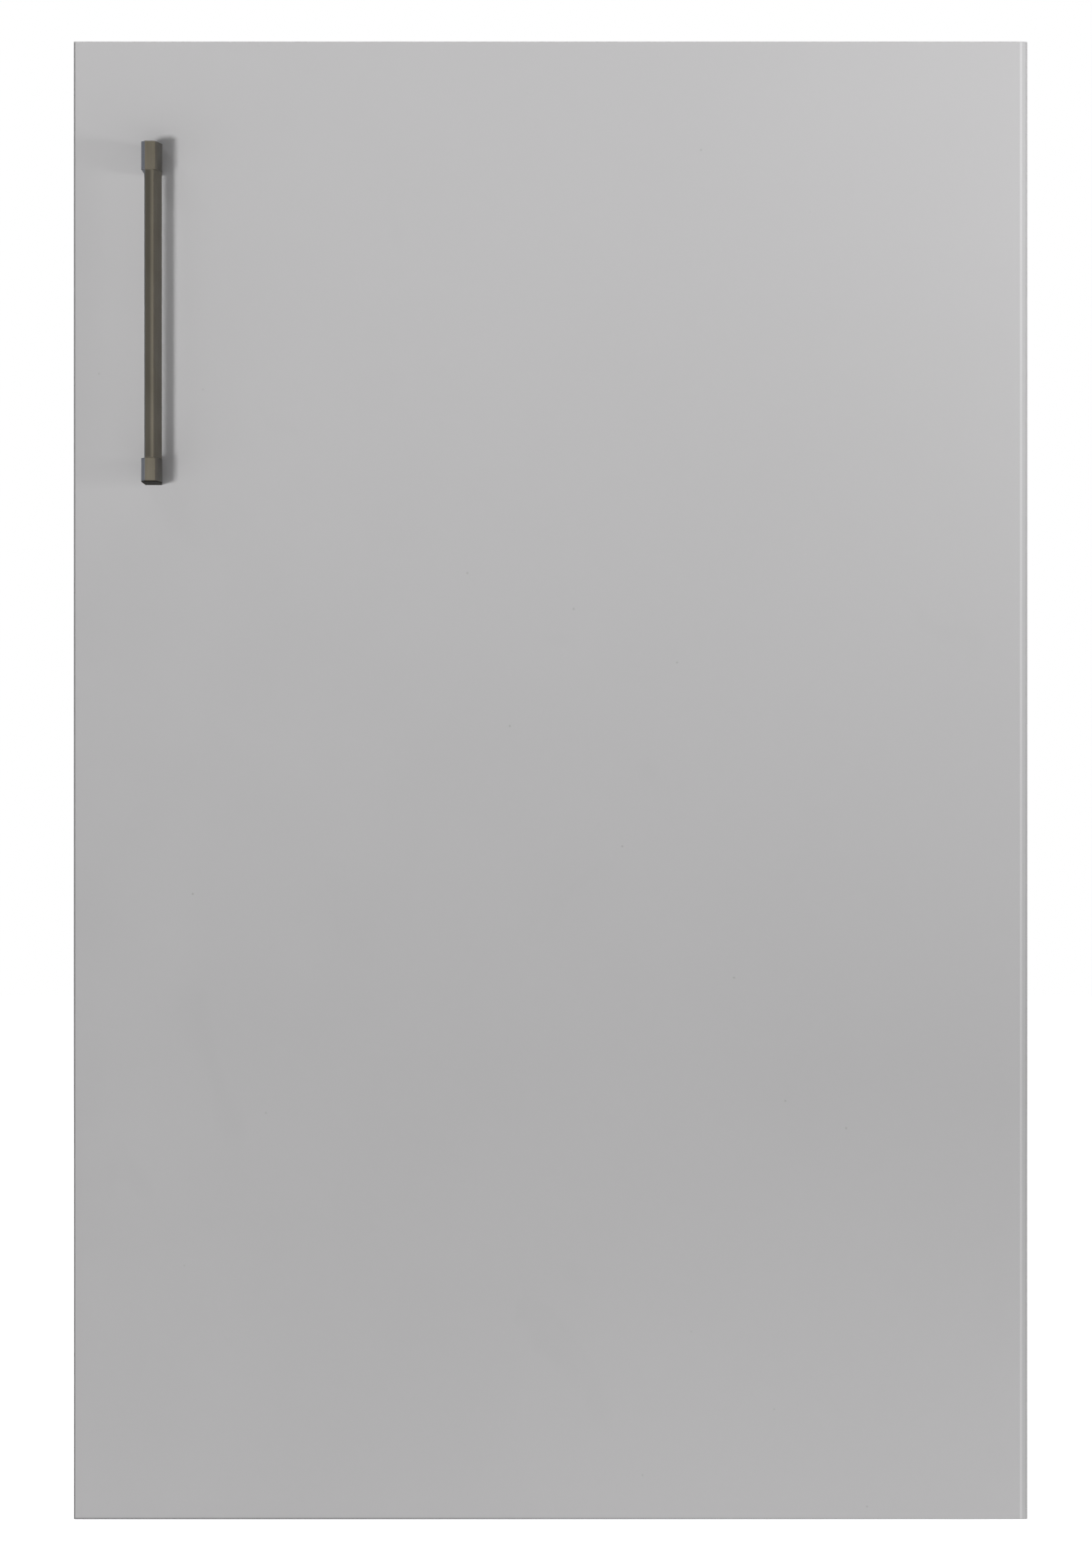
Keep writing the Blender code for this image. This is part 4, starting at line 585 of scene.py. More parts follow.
def frame_ring(low, high, inset, radius, y, steps):
    """A rounded rectangle upright at y, drawn in by inset. low and high are (x, z)."""
    return [(x, y, z) for x, z in drawn_in(low, high, inset, radius, steps)]


def level_ring(low, high, inset, radius, z, steps):
    """A rounded rectangle lying at z, drawn in by inset. low and high are (x, y)."""
    return [(x, y, z) for x, y in drawn_in(low, high, inset, radius, steps)]


def moulded_tray(low, high, wall, draft, radius, rim):
    """An open tray with a rounded foot, sides that lean out by draft, and a thicker rolled rim."""
    foot = radius * 0.55
    top = high[2]
    outer = [(draft + foot, low[2]), (draft + foot * 0.42, low[2] + foot * 0.1),
             (draft + foot * 0.1, low[2] + foot * 0.42)]
    outer += [(draft, low[2] + foot), (rim * 0.35, top - rim * 2.6), (0.0, top - rim * 2.2),
              (0.0, top - rim * 0.4)]
    outer += [(rim * 0.4, top)]
    inner = [(wall + rim * 0.35, top), (wall + rim * 0.75, top - rim * 0.4),
             (wall + rim * 0.8, top - rim * 2.4)]
    inner += [(draft + wall, low[2] + wall + foot), (draft + wall + foot * 0.1, low[2] + wall + foot * 0.42)]
    inner += [(draft + wall + foot * 0.42, low[2] + wall + foot * 0.1), (draft + wall + foot, low[2] + wall)]
    return loft([level_ring(low, high, inset, radius, z, 8) for inset, z in outer + inner])


def pipe(route, radius, sides=14):
    """A round tube along points, with flat ends."""
    points = [Vector(point) for point in route]
    rings = []
    across = None
    for index, point in enumerate(points):
        before = points[max(index - 1, 0)]
        after = points[min(index + 1, len(points) - 1)]
        way = (after - before).normalized()
        if across is None:
            across = way.orthogonal()
        across = (across - way * across.dot(way)).normalized()
        other = way.cross(across)
        turns = [TAU * side / sides for side in range(sides)]
        rings.append([point + (across * math.cos(turn) + other * math.sin(turn)) * radius for turn in turns])
    return loft(rings)


def rounded_route(corners, radius, steps=9):
    """The route through the corners with each bend as an arc."""
    points = [Vector(corner) for corner in corners]
    route = [points[0]]
    for before, corner, after in zip(points, points[1:], points[2:]):
        into = (corner - before).normalized()
        out = (after - corner).normalized()
        turn = into.angle(out)
        start = corner - into * radius * math.tan(turn / 2)
        inward = (out - into * math.cos(turn)) / math.sin(turn)
        for step in range(steps + 1):
            angle = turn * step / steps
            route.append(start + into * radius * math.sin(angle) + inward * radius * (1 - math.cos(angle)))
    route.append(points[-1])
    return route


def cross_head(radius, height):
    """A pan-head screw's head with a cross recess, standing on z = 0 and facing +Z."""
    profile = [(radius * 0.4, 0.0), (radius * 0.96, 0.0), (radius, height * 0.12)]
    profile += [(part, height * 0.12 + z) for part, z in dome(radius, 0.0, height * 0.88, 6, 0.05)[1:]]
    head = turned(profile, (0, 0, 0), "Z", 32)
    reach, half = radius * 0.52, radius * 0.11
    floor = height * 0.35
    slot_x = block((-reach, -half, floor), (reach, half, height * 2), half * 0.3, 1)
    slot_y = block((-half, -reach, floor), (half, reach, height * 2), half * 0.3, 1)
    return carved(head, slot_x, slot_y)


def screws(name, places, facing, node, radius=0.0034, height=0.0019):
    """Pan-head screws at places, facing a direction, each turned by a different amount."""
    heads = []
    aim = Vector(facing).to_track_quat("Z", "Y").to_matrix().to_4x4()
    template = to_object("template", cross_head(radius, height))
    for index, place in enumerate(places):
        head = bmesh.new()
        head.from_mesh(template.data)
        turn = Matrix.Rotation(0.7 + 1.9 * index, 4, "Z")
        heads.append(moved(head, Matrix.Translation(place) @ aim @ turn))
    bpy.data.objects.remove(template)
    add_piece(name, joined(*heads), node, shown_for=False, finish=FINISHES["zinc_plate"])


# Places that the pieces share with the CAD, in metres

SKIN_LOW, SKIN_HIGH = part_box("door_skin")
LINER_LOW, LINER_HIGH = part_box("cabinet_liner")
FLANGE_LOW, FLANGE_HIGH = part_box("door_liner")
SHEET = 0.001
LINER_X = 0.2107
LINER_FLOOR = 0.0643
LINER_CEILING = 0.7227
LINER_BACK = 0.2287
STEP_Y, STEP_Z = 0.069, 0.243
HINGE = (0.236, -0.24)
RIDGE_Y = -0.185
RIDGE_OUTER = ((-0.203, 0.07), (0.203, 0.717))
RIDGE_INNER = ((-0.186, 0.087), (0.186, 0.7))
RACK_LUG_Y, RACK_LUG_DEPTH, RACK_LUG_HEIGHT, RACK_HOOK = -0.204, 0.016, 0.012, 0.03
RACKS = {"lower": 0.088, "middle": 0.405, "upper": 0.59}
COMPRESSOR = (0.045, 0.19)
COMPRESSOR_BASE = 0.033
COMPRESSOR_STRETCH = 1.22
PASS_COUNT, PASS_PITCH, PASS_LOW, PASS_HALF = 12, 0.042, 0.262, 0.176
PASS_Y = 0.2903
PASS_TOP = PASS_LOW + (PASS_COUNT - 1) * PASS_PITCH
LINE_RADIUS = 0.0024


# Door


def door_skin():
    """The folded steel front. Its right edge ends in a narrow strip that leans back, its left in a fold."""
    half = SKIN_HIGH.x
    front, rear = SKIN_LOW.y, SKIN_HIGH.y
    lip = 0.012
    strip, lean, fold = 0.0034, 0.0006, 0.0011
    outer = [(half - strip - 0.0004, front), (half - strip, front + 0.00006),
             (half - strip + 0.0004, front + 0.00016)]
    for step in range(7):
        angle = math.pi / 2 * step / 6
        depth = lean + fold * (1 - math.cos(angle)) * (1 - lean / fold * 0.2)
        outer.append((half - fold + fold * math.sin(angle), front + depth))
    outer += [(half, rear), (half - lip, rear), (half - lip, rear - SHEET), (half - SHEET, rear - SHEET)]
    inner = [(half - SHEET, front + 0.0024), (half - SHEET - 0.0014, front + SHEET + 0.0002)]
    left = [(-half + SHEET + 0.001, front + SHEET), (-half + SHEET, front + SHEET + 0.001),
            (-half + SHEET, rear - SHEET)]
    left += [(-half + lip, rear - SHEET), (-half + lip, rear), (-half, rear)]
    for step in range(7):
        angle = math.pi / 2 * (1 - step / 6)
        left.append((-half + fold - fold * math.sin(angle), front + fold * (1 - math.cos(angle))))
    skin = extruded(outer + inner + left, "Z", SKIN_LOW.z, SKIN_HIGH.z)
    pocket = 0.022
    top = block((0.206, front + 0.005, SKIN_HIGH.z - pocket), (0.27, rear + 0.02, SKIN_HIGH.z + 0.02), 0.0015)
    bottom = block((0.206, front + 0.005, SKIN_LOW.z - 0.02), (0.27, rear + 0.02, SKIN_LOW.z + pocket),
                   0.0015)
    add_piece("door_panel", carved(skin, top, bottom), "door_skin", rounding=(0.00022, 2), angle=50)


def door_caps():
    refined("end_cap_top", "door_cap_top", (0.0008, 3))
    refined("end_cap_bottom", "door_cap_bottom", (0.0008, 3))
    for end in ("top", "bottom"):
        low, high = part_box(f"hinge_bush_{end}")
        bore, rim = 0.0038, 0.0065
        profile = [(bore + 0.0004, low.z), (rim - 0.0005, low.z), (rim, low.z + 0.0005),
                   (rim, high.z - 0.0005)]
        profile += [(rim - 0.0005, high.z), (bore + 0.0004, high.z), (bore, high.z - 0.0004),
                    (bore, low.z + 0.0004)]
        bush = turned(profile, (*HINGE, 0), "Z", 48, closed=True)
        add_piece(f"bush_{end}", bush, f"hinge_bush_{end}")


def facing(bm, point_near, direction):
    """Turns an open skin so that its face nearest a point looks in a direction."""
    bmesh.ops.recalc_face_normals(bm, faces=bm.faces)
    near = min(bm.faces, key=lambda face: (face.calc_center_median() - Vector(point_near)).length)
    if near.normal.dot(Vector(direction)) < 0:
        bmesh.ops.reverse_faces(bm, faces=bm.faces)
    return bm


def shell(bm, thickness):
    """An open skin thickened behind its faces."""
    return modified(bm, "SOLIDIFY", thickness=thickness, offset=-1.0, use_even_offset=False)


def door_liner():
    """Vacuum-formed inner face: a flat flange, a rounded hollow ridge, a shallow panel and rack lugs."""
    plane = FLANGE_LOW.y + 0.002
    flange = ((FLANGE_LOW.x, FLANGE_LOW.z), (FLANGE_HIGH.x, FLANGE_HIGH.z))
    rings = [frame_ring(*flange, 0.0, 0.006, plane, 8)]
    for outset, y in ((0.006, plane), (0.002, plane + 0.0006), (0.0004, plane + 0.0024),
                      (0.0, plane + 0.005)):
        rings.append(frame_ring(*RIDGE_OUTER, -outset, 0.016, y, 8))
    for inset, drop in ((0.0012, 0.006), (0.002, 0.0022), (0.0036, 0.0005), (0.0056, 0.0)):
        rings.append(frame_ring(*RIDGE_OUTER, inset, 0.016, RIDGE_Y - drop, 8))
    for outset, drop in ((0.0056, 0.0), (0.0036, 0.0005), (0.002, 0.0022), (0.0012, 0.006)):
        rings.append(frame_ring(*RIDGE_INNER, -outset, 0.014, RIDGE_Y - drop, 8))
    for inset, y in ((0.0, plane + 0.005), (0.0004, plane + 0.0024), (0.002, plane + 0.0006), (0.006, plane)):
        rings.append(frame_ring(*RIDGE_INNER, inset, 0.014, y, 8))
    for inset, y in ((0.022, plane), (0.0235, plane + 0.0003), (0.0255, plane + 0.0011),
                     (0.027, plane + 0.0013)):
        rings.append(frame_ring(*RIDGE_INNER, inset, 0.032, y, 8))
    skin = loft(rings)
    bmesh.ops.delete(skin, geom=[face for face in skin.faces if len(face.verts) > 4][:1],
                     context="FACES_ONLY")
    liner = shell(facing(skin, (0, plane, 0.4), (0, 1, 0)), 0.0018)
    lugs = []
    for side in (-1, 1):
        for floor in RACKS.values():
            inner, outer = sorted((side * 0.1823, side * 0.1872))
            low = (inner, RACK_LUG_Y, floor + RACK_HOOK)
            high = (outer, RACK_LUG_Y + RACK_LUG_DEPTH, floor + RACK_HOOK + RACK_LUG_HEIGHT)
            lugs.append(block(low, high, 0.0012))
    add_piece("door_inner_liner", joined(liner, *lugs), "door_liner")


def door_gasket():
    """Extruded seal with bellows and a magnet pad, mitred at the corners."""
    low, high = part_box("door_gasket")
    base, face = low.y, high.y
    side = [(0.001, base), (0.0002, base + 0.0014), (0.0024, base + 0.0034), (0.0034, base + 0.0052)]
    side += [(0.0014, base + 0.007), (0.0, base + 0.0086), (0.0, face - 0.0012), (0.0003, face - 0.0004),
             (0.0012, face)]
    width = 0.016
    profile = side + [(width - inset, y) for inset, y in reversed(side)]
    rings = [frame_ring((low.x, low.z), (high.x, high.z), inset, 0.0, y, 1) for inset, y in profile]
    add_piece("seal", loft(rings, closed=True), "door_gasket", angle=50)


def saddle(side, floor):
    """The hook at a rack's end that sits over the liner's lug."""
    top = floor + RACK_HOOK + RACK_LUG_HEIGHT
    front, back = RACK_LUG_Y - GAP, RACK_LUG_Y + RACK_LUG_DEPTH + GAP
    cheek = 0.003
    outline = [(front - cheek, top - 0.01), (front, top - 0.01), (front, top + GAP), (back, top + GAP),
               (back, top - 0.01)]
    outline += [(back + cheek, top - 0.01), (back + cheek, top + 0.0045),
                (back + cheek - 0.0015, top + 0.006)]
    outline += [(front - cheek + 0.0015, top + 0.006), (front - cheek, top + 0.0045)]
    inner, outer = sorted((side * 0.179, side * 0.1845))
    return extruded(outline, "X", inner, outer)


def door_rack(name, floor):
    """A clear moulded rack with a rolled rim, end saddles and stiffening ribs low on its front."""
    node = f"door_rack_{name}"
    low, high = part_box(node)
    half = 0.18
    body_low, body_high = (-half, low.y, floor), (half, high.y, high.z)
    rack = moulded_tray(body_low, body_high, 0.0019, 0.0016, 0.012, 0.0014)
    rack = united(rack, saddle(-1, floor), saddle(1, floor))
    ribs = []
    for index in range(3):
        z = floor + 0.016 + 0.006 * index
        ribs.append(block((-half + 0.016, high.y - 0.0022, z), (half - 0.016, high.y - 0.0004, z + 0.0022),
                          0.0006, 2))
    add_piece(f"rack_{name}", united(rack, *ribs), node, angle=40)


def door_handle():
    """A slim bar with a faceted edge, between two deeper end blocks that stand on the door."""
    low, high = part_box("door_handle")
    front, door = low.y, high.y
    block_section = [(low.x, door), (low.x, front + 0.0036), (low.x + 0.0019, front),
                     (high.x - 0.0026, front)]
    block_section += [(high.x, front + 0.013), (high.x - 0.0014, door)]
    bar_section = [(low.x + 0.0017, front + 0.0016), (low.x + 0.0026, front + 0.0003),
                   (high.x - 0.0034, front + 0.0003)]
    bar_section += [(high.x, front + 0.0117), (high.x - 0.002, front + 0.0126),
                    (low.x + 0.0041, front + 0.004)]
    bottom, overlap = low.z - 0.0006, 0.0006
    upper, lower = high.z - 0.0146, bottom + 0.0124
    handle = extruded(bar_section, "Z", lower - overlap, upper + overlap)
    for start, end in ((bottom, lower), (upper, high.z)):
        handle = united(handle, extruded(block_section, "Z", start, end))
    add_piece("handle", handle, "door_handle", rounding=(0.00022, 2), angle=24)


def handle_screws():
    for name in ("upper", "lower"):
        node = f"handle_screw_{name}"
        low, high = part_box(node)
        head = high.y - 0.0028
        profile = [(0.0006, low.y), (0.0012, low.y + 0.0004)]
        for step in range(14):
            thread = low.y + 0.0012 + step * (head - low.y - 0.0016) / 14
            profile += [(0.0016, thread), (0.002, thread + 0.0004)]
        profile += [(0.002, head), (0.004, head), (0.004, head + 0.0012)]
        profile += [(radius, place) for radius, place in dome(0.0037, head + 0.0016, 0.0012, 5, 0.1)]
        add_piece(f"screw_{name}", turned(profile, centre_of(node, "X", "Z"), "Y", 32), node)


# Cabinet


def cabinet_shell():
    for side in ("left", "right"):
        refined(f"side_{side}", f"side_panel_{side}", (0.0006, 3))
    refined("top", "top_panel", (0.0006, 3))
    refined("back", "back_panel", (0.0004, 2))
    refined("base", "base_plate", (0.0003, 2))
    refined("front_sill", "front_rail", (0.0003, 2))
    foam_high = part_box("cabinet_foam")[1]
    for side in (-1, 1):
        near, far = sorted((side * 0.2322, side * (foam_high.x - 0.0002)))
        flange = block((near, 0.1042, 0.027), (far, 0.1052, 0.2075), 0.0002, 1)
        add_piece(f"compartment_flange_{side}", flange, "back_panel", shown_for=False)
    y = 0.2663
    places = [(side * 0.2285, y, z) for side in (-1, 1) for z in (0.226, 0.33, 0.47, 0.61, 0.75)]
    places += [(side * 0.11, y, 0.764) for side in (-1, 1)]
    screws("back_screws", places, (0, 1, 0), "back_panel")


def cabinet_liner():
    """Vacuum-formed shell with rounded corners, a front flange, moulded shelf ribs and the drain."""
    face = LINER_LOW.y
    mouth = face + 0.0022
    start = mouth - 0.04
    side_view = [(start, LINER_FLOOR), (STEP_Y, LINER_FLOOR), (STEP_Y, STEP_Z), (LINER_BACK, STEP_Z)]
    side_view += [(LINER_BACK, LINER_CEILING), (start, LINER_CEILING)]
    cavity = extruded(side_view, "X", -LINER_X, LINER_X)
    bmesh.ops.bevel(cavity, geom=cavity.edges[:], offset=0.013, segments=7, profile=0.5, affect="EDGES")
    everything = cavity.verts[:] + cavity.edges[:] + cavity.faces[:]
    bmesh.ops.bisect_plane(cavity, geom=everything, plane_co=(0, mouth, 0), plane_no=(0, -1, 0),
                           clear_outer=True)
    edge = [rim for rim in cavity.edges if rim.is_boundary]
    reach = (LINER_X, LINER_FLOOR, LINER_CEILING)
    for x_half, z_low, z_high, y, square in (
        (LINER_X + 0.0006, LINER_FLOOR - 0.0006, LINER_CEILING + 0.0006, face + 0.0006, False),
        (LINER_X + 0.0022, LINER_FLOOR - 0.0022, LINER_CEILING + 0.0022, face, False),
        (LINER_HIGH.x, LINER_LOW.z, LINER_HIGH.z, face, True),
    ):
        grown = bmesh.ops.extrude_edge_only(cavity, edges=edge)["geom"]
        for vert in (item for item in grown if isinstance(item, bmesh.types.BMVert)):
            across = vert.co.x / reach[0]
            up = (2 * vert.co.z - reach[1] - reach[2]) / (reach[2] - reach[1])
            push = max(abs(across), abs(up)) if square else 1.0
            vert.co = (across / push * x_half, y, (z_low + z_high) / 2 + up / push * (z_high - z_low) / 2)
        edge = [item for item in grown if isinstance(item, bmesh.types.BMEdge)]
        reach = (x_half, z_low, z_high)
    liner = shell(facing(cavity, (LINER_X, 0.0, 0.5), (-1, 0, 0)), SHEET)
    drain = turned([(0.005, STEP_Z - 0.01), (0.005, STEP_Z + 0.01)], (0, LINER_BACK - 0.0165, 0), "Z", 32)
    liner = carved(liner, drain)
    ribs = []
    for side in (-1, 1):
        for step in range(6):
            level = 0.251 + 0.08 * step
            inner, outer = sorted((side * (LINER_X - 0.008), side * (LINER_X + 0.0005)))
            ribs.append(block((inner, -0.08, level - 0.005), (outer, LINER_BACK - 0.02, level), 0.0017))
    add_piece("inner_liner", joined(liner, *ribs), "cabinet_liner")


def hinges():
    for end in ("top", "bottom"):
        refined(f"bracket_{end}", f"hinge_bracket_{end}", (0.00045, 3))
        wall_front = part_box(f"hinge_bracket_{end}")[1].y - 0.003
        z = centre_of(f"hinge_bracket_{end}", "Z")[2]
        places = [(x, wall_front, z) for x in (0.207, 0.222)]
        screws(f"bracket_screws_{end}", places, (0, -1, 0), f"hinge_bracket_{end}", 0.004, 0.002)
        low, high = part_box(f"hinge_pin_{end}")
        shank, head = 0.0035, 0.0055
        rise = 1 if end == "top" else -1
        base, tip = (high.z, low.z) if end == "top" else (low.z, high.z)
        profile = [(head * 0.2, base), (head * 0.82, base - rise * 0.0002), (head, base - rise * 0.0012)]
        profile += [(head, base - rise * 0.0024), (head - 0.0004, base - rise * 0.0027),
                    (shank, base - rise * 0.0027)]
        profile += [(shank, tip + rise * 0.0008), (shank - 0.0008, tip)]
        add_piece(f"pin_{end}", turned(profile, (*HINGE, 0), "Z", 48), f"hinge_pin_{end}")


def feet():
    """Screw-in feet: a ribbed nylon pad with a non-slip sole and a threaded stem."""
    for node in ("front_foot_left", "front_foot_right", "rear_foot_left", "rear_foot_right"):
        low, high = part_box(node)
        radius, stem = (high.x - low.x) / 2, 0.004
        profile = [(radius - 0.003, 0.0), (radius - 0.0012, 0.0004), (radius, 0.0018), (radius, 0.0056)]
        profile += [(radius - 0.0008, 0.0066), (radius - 0.0042, 0.0094), (radius - 0.0052, 0.01),
                    (stem, 0.01)]
        pitch, place = 0.00125, 0.0104
        while place < high.z - pitch:
            profile += [(stem - 0.0005, place), (stem, place + pitch / 2)]
            place += pitch
        profile.append((stem - 0.0006, high.z))
        foot = turned(profile, centre_of(node, "X", "Y"), "Z", 96, waves=24, wave_depth=0.0009)
        add_piece(node.replace("foot", "leg"), foot, node, angle=40)


# Cold side


def shelves():
    for glass, trim, name in (
        ("shelf_glass_upper", "shelf_trim_upper", "shelf_upper"),
        ("shelf_glass_lower", "shelf_trim_lower", "shelf_lower"),
        ("crisper_cover_glass", "crisper_cover_trim", "cover"),
    ):
        refined(f"{name}_pane", glass, (0.0009, 3))
        refined(f"{name}_edging", trim, (0.0006, 3), 28)


def crisper():
    """A clear drawer with draft, rounded corners, a rolled rim, floor ribs and a full-width finger grip."""
    low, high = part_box("crisper_drawer")
    grip_reach = 0.012
    body_low = (low.x, low.y + grip_reach, low.z)
    drawer = moulded_tray(body_low, tuple(high), 0.002, 0.0035, 0.016, 0.0016)
    grip = block((-0.07, low.y, high.z - 0.0225), (0.07, low.y + grip_reach + 0.003, high.z - 0.0192), 0.0014)
    lip = block((-0.07, low.y, high.z - 0.0265), (0.07, low.y + 0.0026, high.z - 0.0195), 0.0011)
    drawer = united(drawer, united(grip, lip))
    ribs = [block((x - 0.0012, low.y + 0.034, low.z + 0.0012), (x + 0.0012, high.y - 0.022, low.z + 0.0032),
                  0.0006, 2)
            for x in (-0.15, -0.1, -0.05, 0.0, 0.05, 0.1, 0.15)]
    add_piece("crisper", united(drawer, *ribs), "crisper_drawer", angle=40)


def lettering(text, size, depth):
    """Flat generic characters, as a thin solid that stands on z = 0."""
    curve = bpy.data.curves.new("working", "FONT")
    curve.body = text
    curve.size = size
    curve.extrude = depth / 2
    curve.align_x = "CENTER"
    curve.align_y = "CENTER"
    holder = bpy.data.objects.new("working", curve)
    bpy.context.scene.collection.objects.link(holder)
    mesh = bpy.data.meshes.new_from_object(holder.evaluated_get(bpy.context.evaluated_depsgraph_get()))
    bm = bmesh.new()
    bm.from_mesh(mesh)
    bpy.data.objects.remove(holder)
    return moved(bm, Matrix.Translation((0, 0, depth / 2)))


def controls():
    refined("housing", "control_housing", (0.001, 3))
    housing_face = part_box("control_housing")[0].y
    knob_low, knob_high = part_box("thermostat_knob")
    x, _, z = centre_of("thermostat_knob", "X", "Z")
    face, front, radius = housing_face - GAP, knob_low.y, 0.014
    upright = Matrix.Rotation(math.radians(90), 4, "X")
    marks = []
    for step in range(8):
        turn = math.radians(-140 + 40 * step)
        spoke = Matrix.Translation((x, housing_face - 0.00004, z)) @ Matrix.Rotation(turn, 4, "Y")
        marks.append(moved(block((-0.0003, -0.00004, 0.0149), (0.0003, 0.0001, 0.0166), 0.00003, 1), spoke))
        place = (x + 0.0184 * math.sin(turn), housing_face + 0.00002, z + 0.0184 * math.cos(turn))
        marks.append(moved(lettering(str(step), 0.003, 0.00008), Matrix.Translation(place) @ upright))
    add_piece("dial_marks", joined(*marks), "control_housing", shown_for=False, finish=INK)
    profile = [(0.0008, front + 0.0052), (radius - 0.0022, front + 0.005), (radius - 0.001, front + 0.0056)]
    profile += [(radius, face - 0.0034), (radius, face - 0.0006), (radius - 0.0004, face), (0.003, face)]
    profile += [(0.003, knob_high.y - 0.0005), (0.0024, knob_high.y)]
    knob = turned(profile, (x, 0, z), "Y", 144, waves=36, wave_depth=0.0006)
    grip = block((x - 0.0029, front, z - radius + 0.0022), (x + 0.0029, front + 0.0068, z + radius - 0.0022),
                 0.0012)
    add_piece("knob", united(knob, grip), "thermostat_knob", angle=38)
    pointer = block((x - 0.0005, front - 0.00004, z + 0.004), (x + 0.0005, front + 0.0004, z + 0.0104),
                    0.00003, 1)
    add_piece("knob_pointer", pointer, "thermostat_knob", shown_for=False, finish=INK)
    low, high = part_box("light_switch")
    radius = (high.x - low.x) / 2
    profile = [(radius * 0.1, low.y), (radius * 0.55, low.y + 0.0004), (radius * 0.86, low.y + 0.0013)]
    profile += [(radius, low.y + 0.003), (radius, high.y)]
    add_piece("door_switch", turned(profile, centre_of("light_switch", "X", "Z"), "Y", 48), "light_switch")


def lighting_unit():
    """The ribbed lens, and behind it a small opal lamp on a threaded cap."""
    low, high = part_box("lamp_lens")
    count, thick, depth = 240, 0.0016, 0.0005
    wavy = []
    for step in range(count + 1):
        x = low.x + (high.x - low.x) * step / count
        wavy.append((x, low.z + depth * (0.5 - 0.5 * math.cos(TAU * x / 0.004))))
    outline = wavy + [(high.x, low.z + thick), (low.x, low.z + thick)]
    sheet = extruded(outline, "Y", low.y, high.y)
    rim = [level_ring((low.x, low.y), (high.x, high.y), inset, 0.001, z, 3)
           for inset, z in ((0.0, low.z + 0.0012), (0.0, high.z), (0.0014, high.z), (0.0014, low.z + 0.0012))]
    add_piece("lens", united(sheet, loft(rim, closed=True)), "lamp_lens")
    centre = centre_of("lamp", "Y", "Z")
    glass, cap = 0.008, 0.006
    bulb = [(radius, -place) for radius, place in reversed(dome(glass, 0.022, 0.008, 10, 0.04))]
    bulb += [(glass, 0.006), (glass * 0.97, 0.01), (cap, 0.0138), (cap * 0.9, 0.014)]
    add_piece("bulb", turned(bulb, centre, "X", 48), "lamp")
    thread = [(cap * 0.9, 0.0138), (cap, 0.0144)]
    for step in range(5):
        place = 0.0155 + step * 0.0022
        thread += [(cap - 0.0007, place), (cap, place + 0.0011)]
    thread += [(cap * 0.55, 0.028), (cap * 0.35, 0.0296), (cap * 0.1, 0.03)]
    add_piece("bulb_cap", turned(thread, centre, "X", 48), "lamp", shown_for=False,
              finish=FINISHES["zinc_plate"])


# Machine compartment and condenser


def compressor():
    """A welded shell with its seam, three stubs and a stamped foot plate."""
    x, y = COMPRESSOR
    low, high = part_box("compressor")
    base, radius = low.z + 0.004, 0.066
    height = high.z - base
    seam = base + height * 0.52
    profile = [(radius * 0.6, base + 0.0005), (radius * 0.74, base + 0.002), (radius * 0.88, base + 0.01)]
    profile += [(radius * 0.965, base + 0.024), (radius, base + 0.042), (radius, seam - 0.0005),
                (radius * 1.012, seam)]
    profile += [(radius * 1.036, seam + 0.0006), (radius * 1.04, seam + 0.0022),
                (radius * 1.036, seam + 0.0038)]
    profile += [(radius * 1.006, seam + 0.0046), (radius * 0.998, seam + 0.0056)]
    profile += dome(radius * 0.997, seam + 0.006, high.z - seam - 0.006, 14, 0.02)
    body = turned(profile, (x, y, 0), "Z", 96, (COMPRESSOR_STRETCH, 1.0))
    plate = [level_ring((low.x, low.y), (high.x, high.y), inset, 0.012, z, 6)
             for inset, z in ((0.0006, low.z), (0.0, low.z + 0.0006), (0.0, low.z + 0.005),
                              (0.0006, low.z + 0.0056))]
    foot = loft(plate)
    holes = []
    for side in (-1, 1):
        for end in (-1, 1):
            centre = (x + side * 0.08, y + end * 0.05, 0)
            holes.append(turned([(0.0062, low.z - 0.01), (0.0062, low.z + 0.02)], centre, "Z", 32))
    stubs = []
    for angle, rise, length in ((200, 0.074, 0.01), (168, 0.054, 0.01), (250, 0.03, 0.014)):
        turn = math.radians(angle)
        way = Vector((math.cos(turn), math.sin(turn), 0))
        reach = Vector((way.x * radius * COMPRESSOR_STRETCH, way.y * radius, 0))
        start = Vector((x, y, base + rise)) + reach * 0.95
        stubs.append(pipe([start, start + way * length], 0.0042, 20))
    add_piece("motor_compressor", joined(body, carved(foot, *holes), *stubs), "compressor", angle=40)


def mounts():
    heads = []
    for index in range(1, 5):
        node = f"compressor_grommet_{index}"
        low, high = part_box(node)
        centre = centre_of(node, "X", "Y")
        wide, neck, bore = (high.x - low.x) / 2, 0.0058, 0.003
        shoulder = COMPRESSOR_BASE - GAP
        waist = (low.z + shoulder) / 2
        profile = [(bore, low.z), (wide - 0.0006, low.z), (wide, low.z + 0.0006), (wide - 0.0012, waist)]
        profile += [(wide, shoulder - 0.0006), (wide - 0.0006, shoulder), (neck, shoulder),
                    (neck, high.z - 0.0005)]
        profile += [(neck - 0.0005, high.z), (bore, high.z)]
        add_piece(f"mount_{index}", turned(profile, centre, "Z", 48, closed=True), node)
        heads.append((centre[0], centre[1], high.z + 0.0002))
    screws("mount_bolts", heads, (0, 0, 1), "compressor", 0.0056, 0.0032)


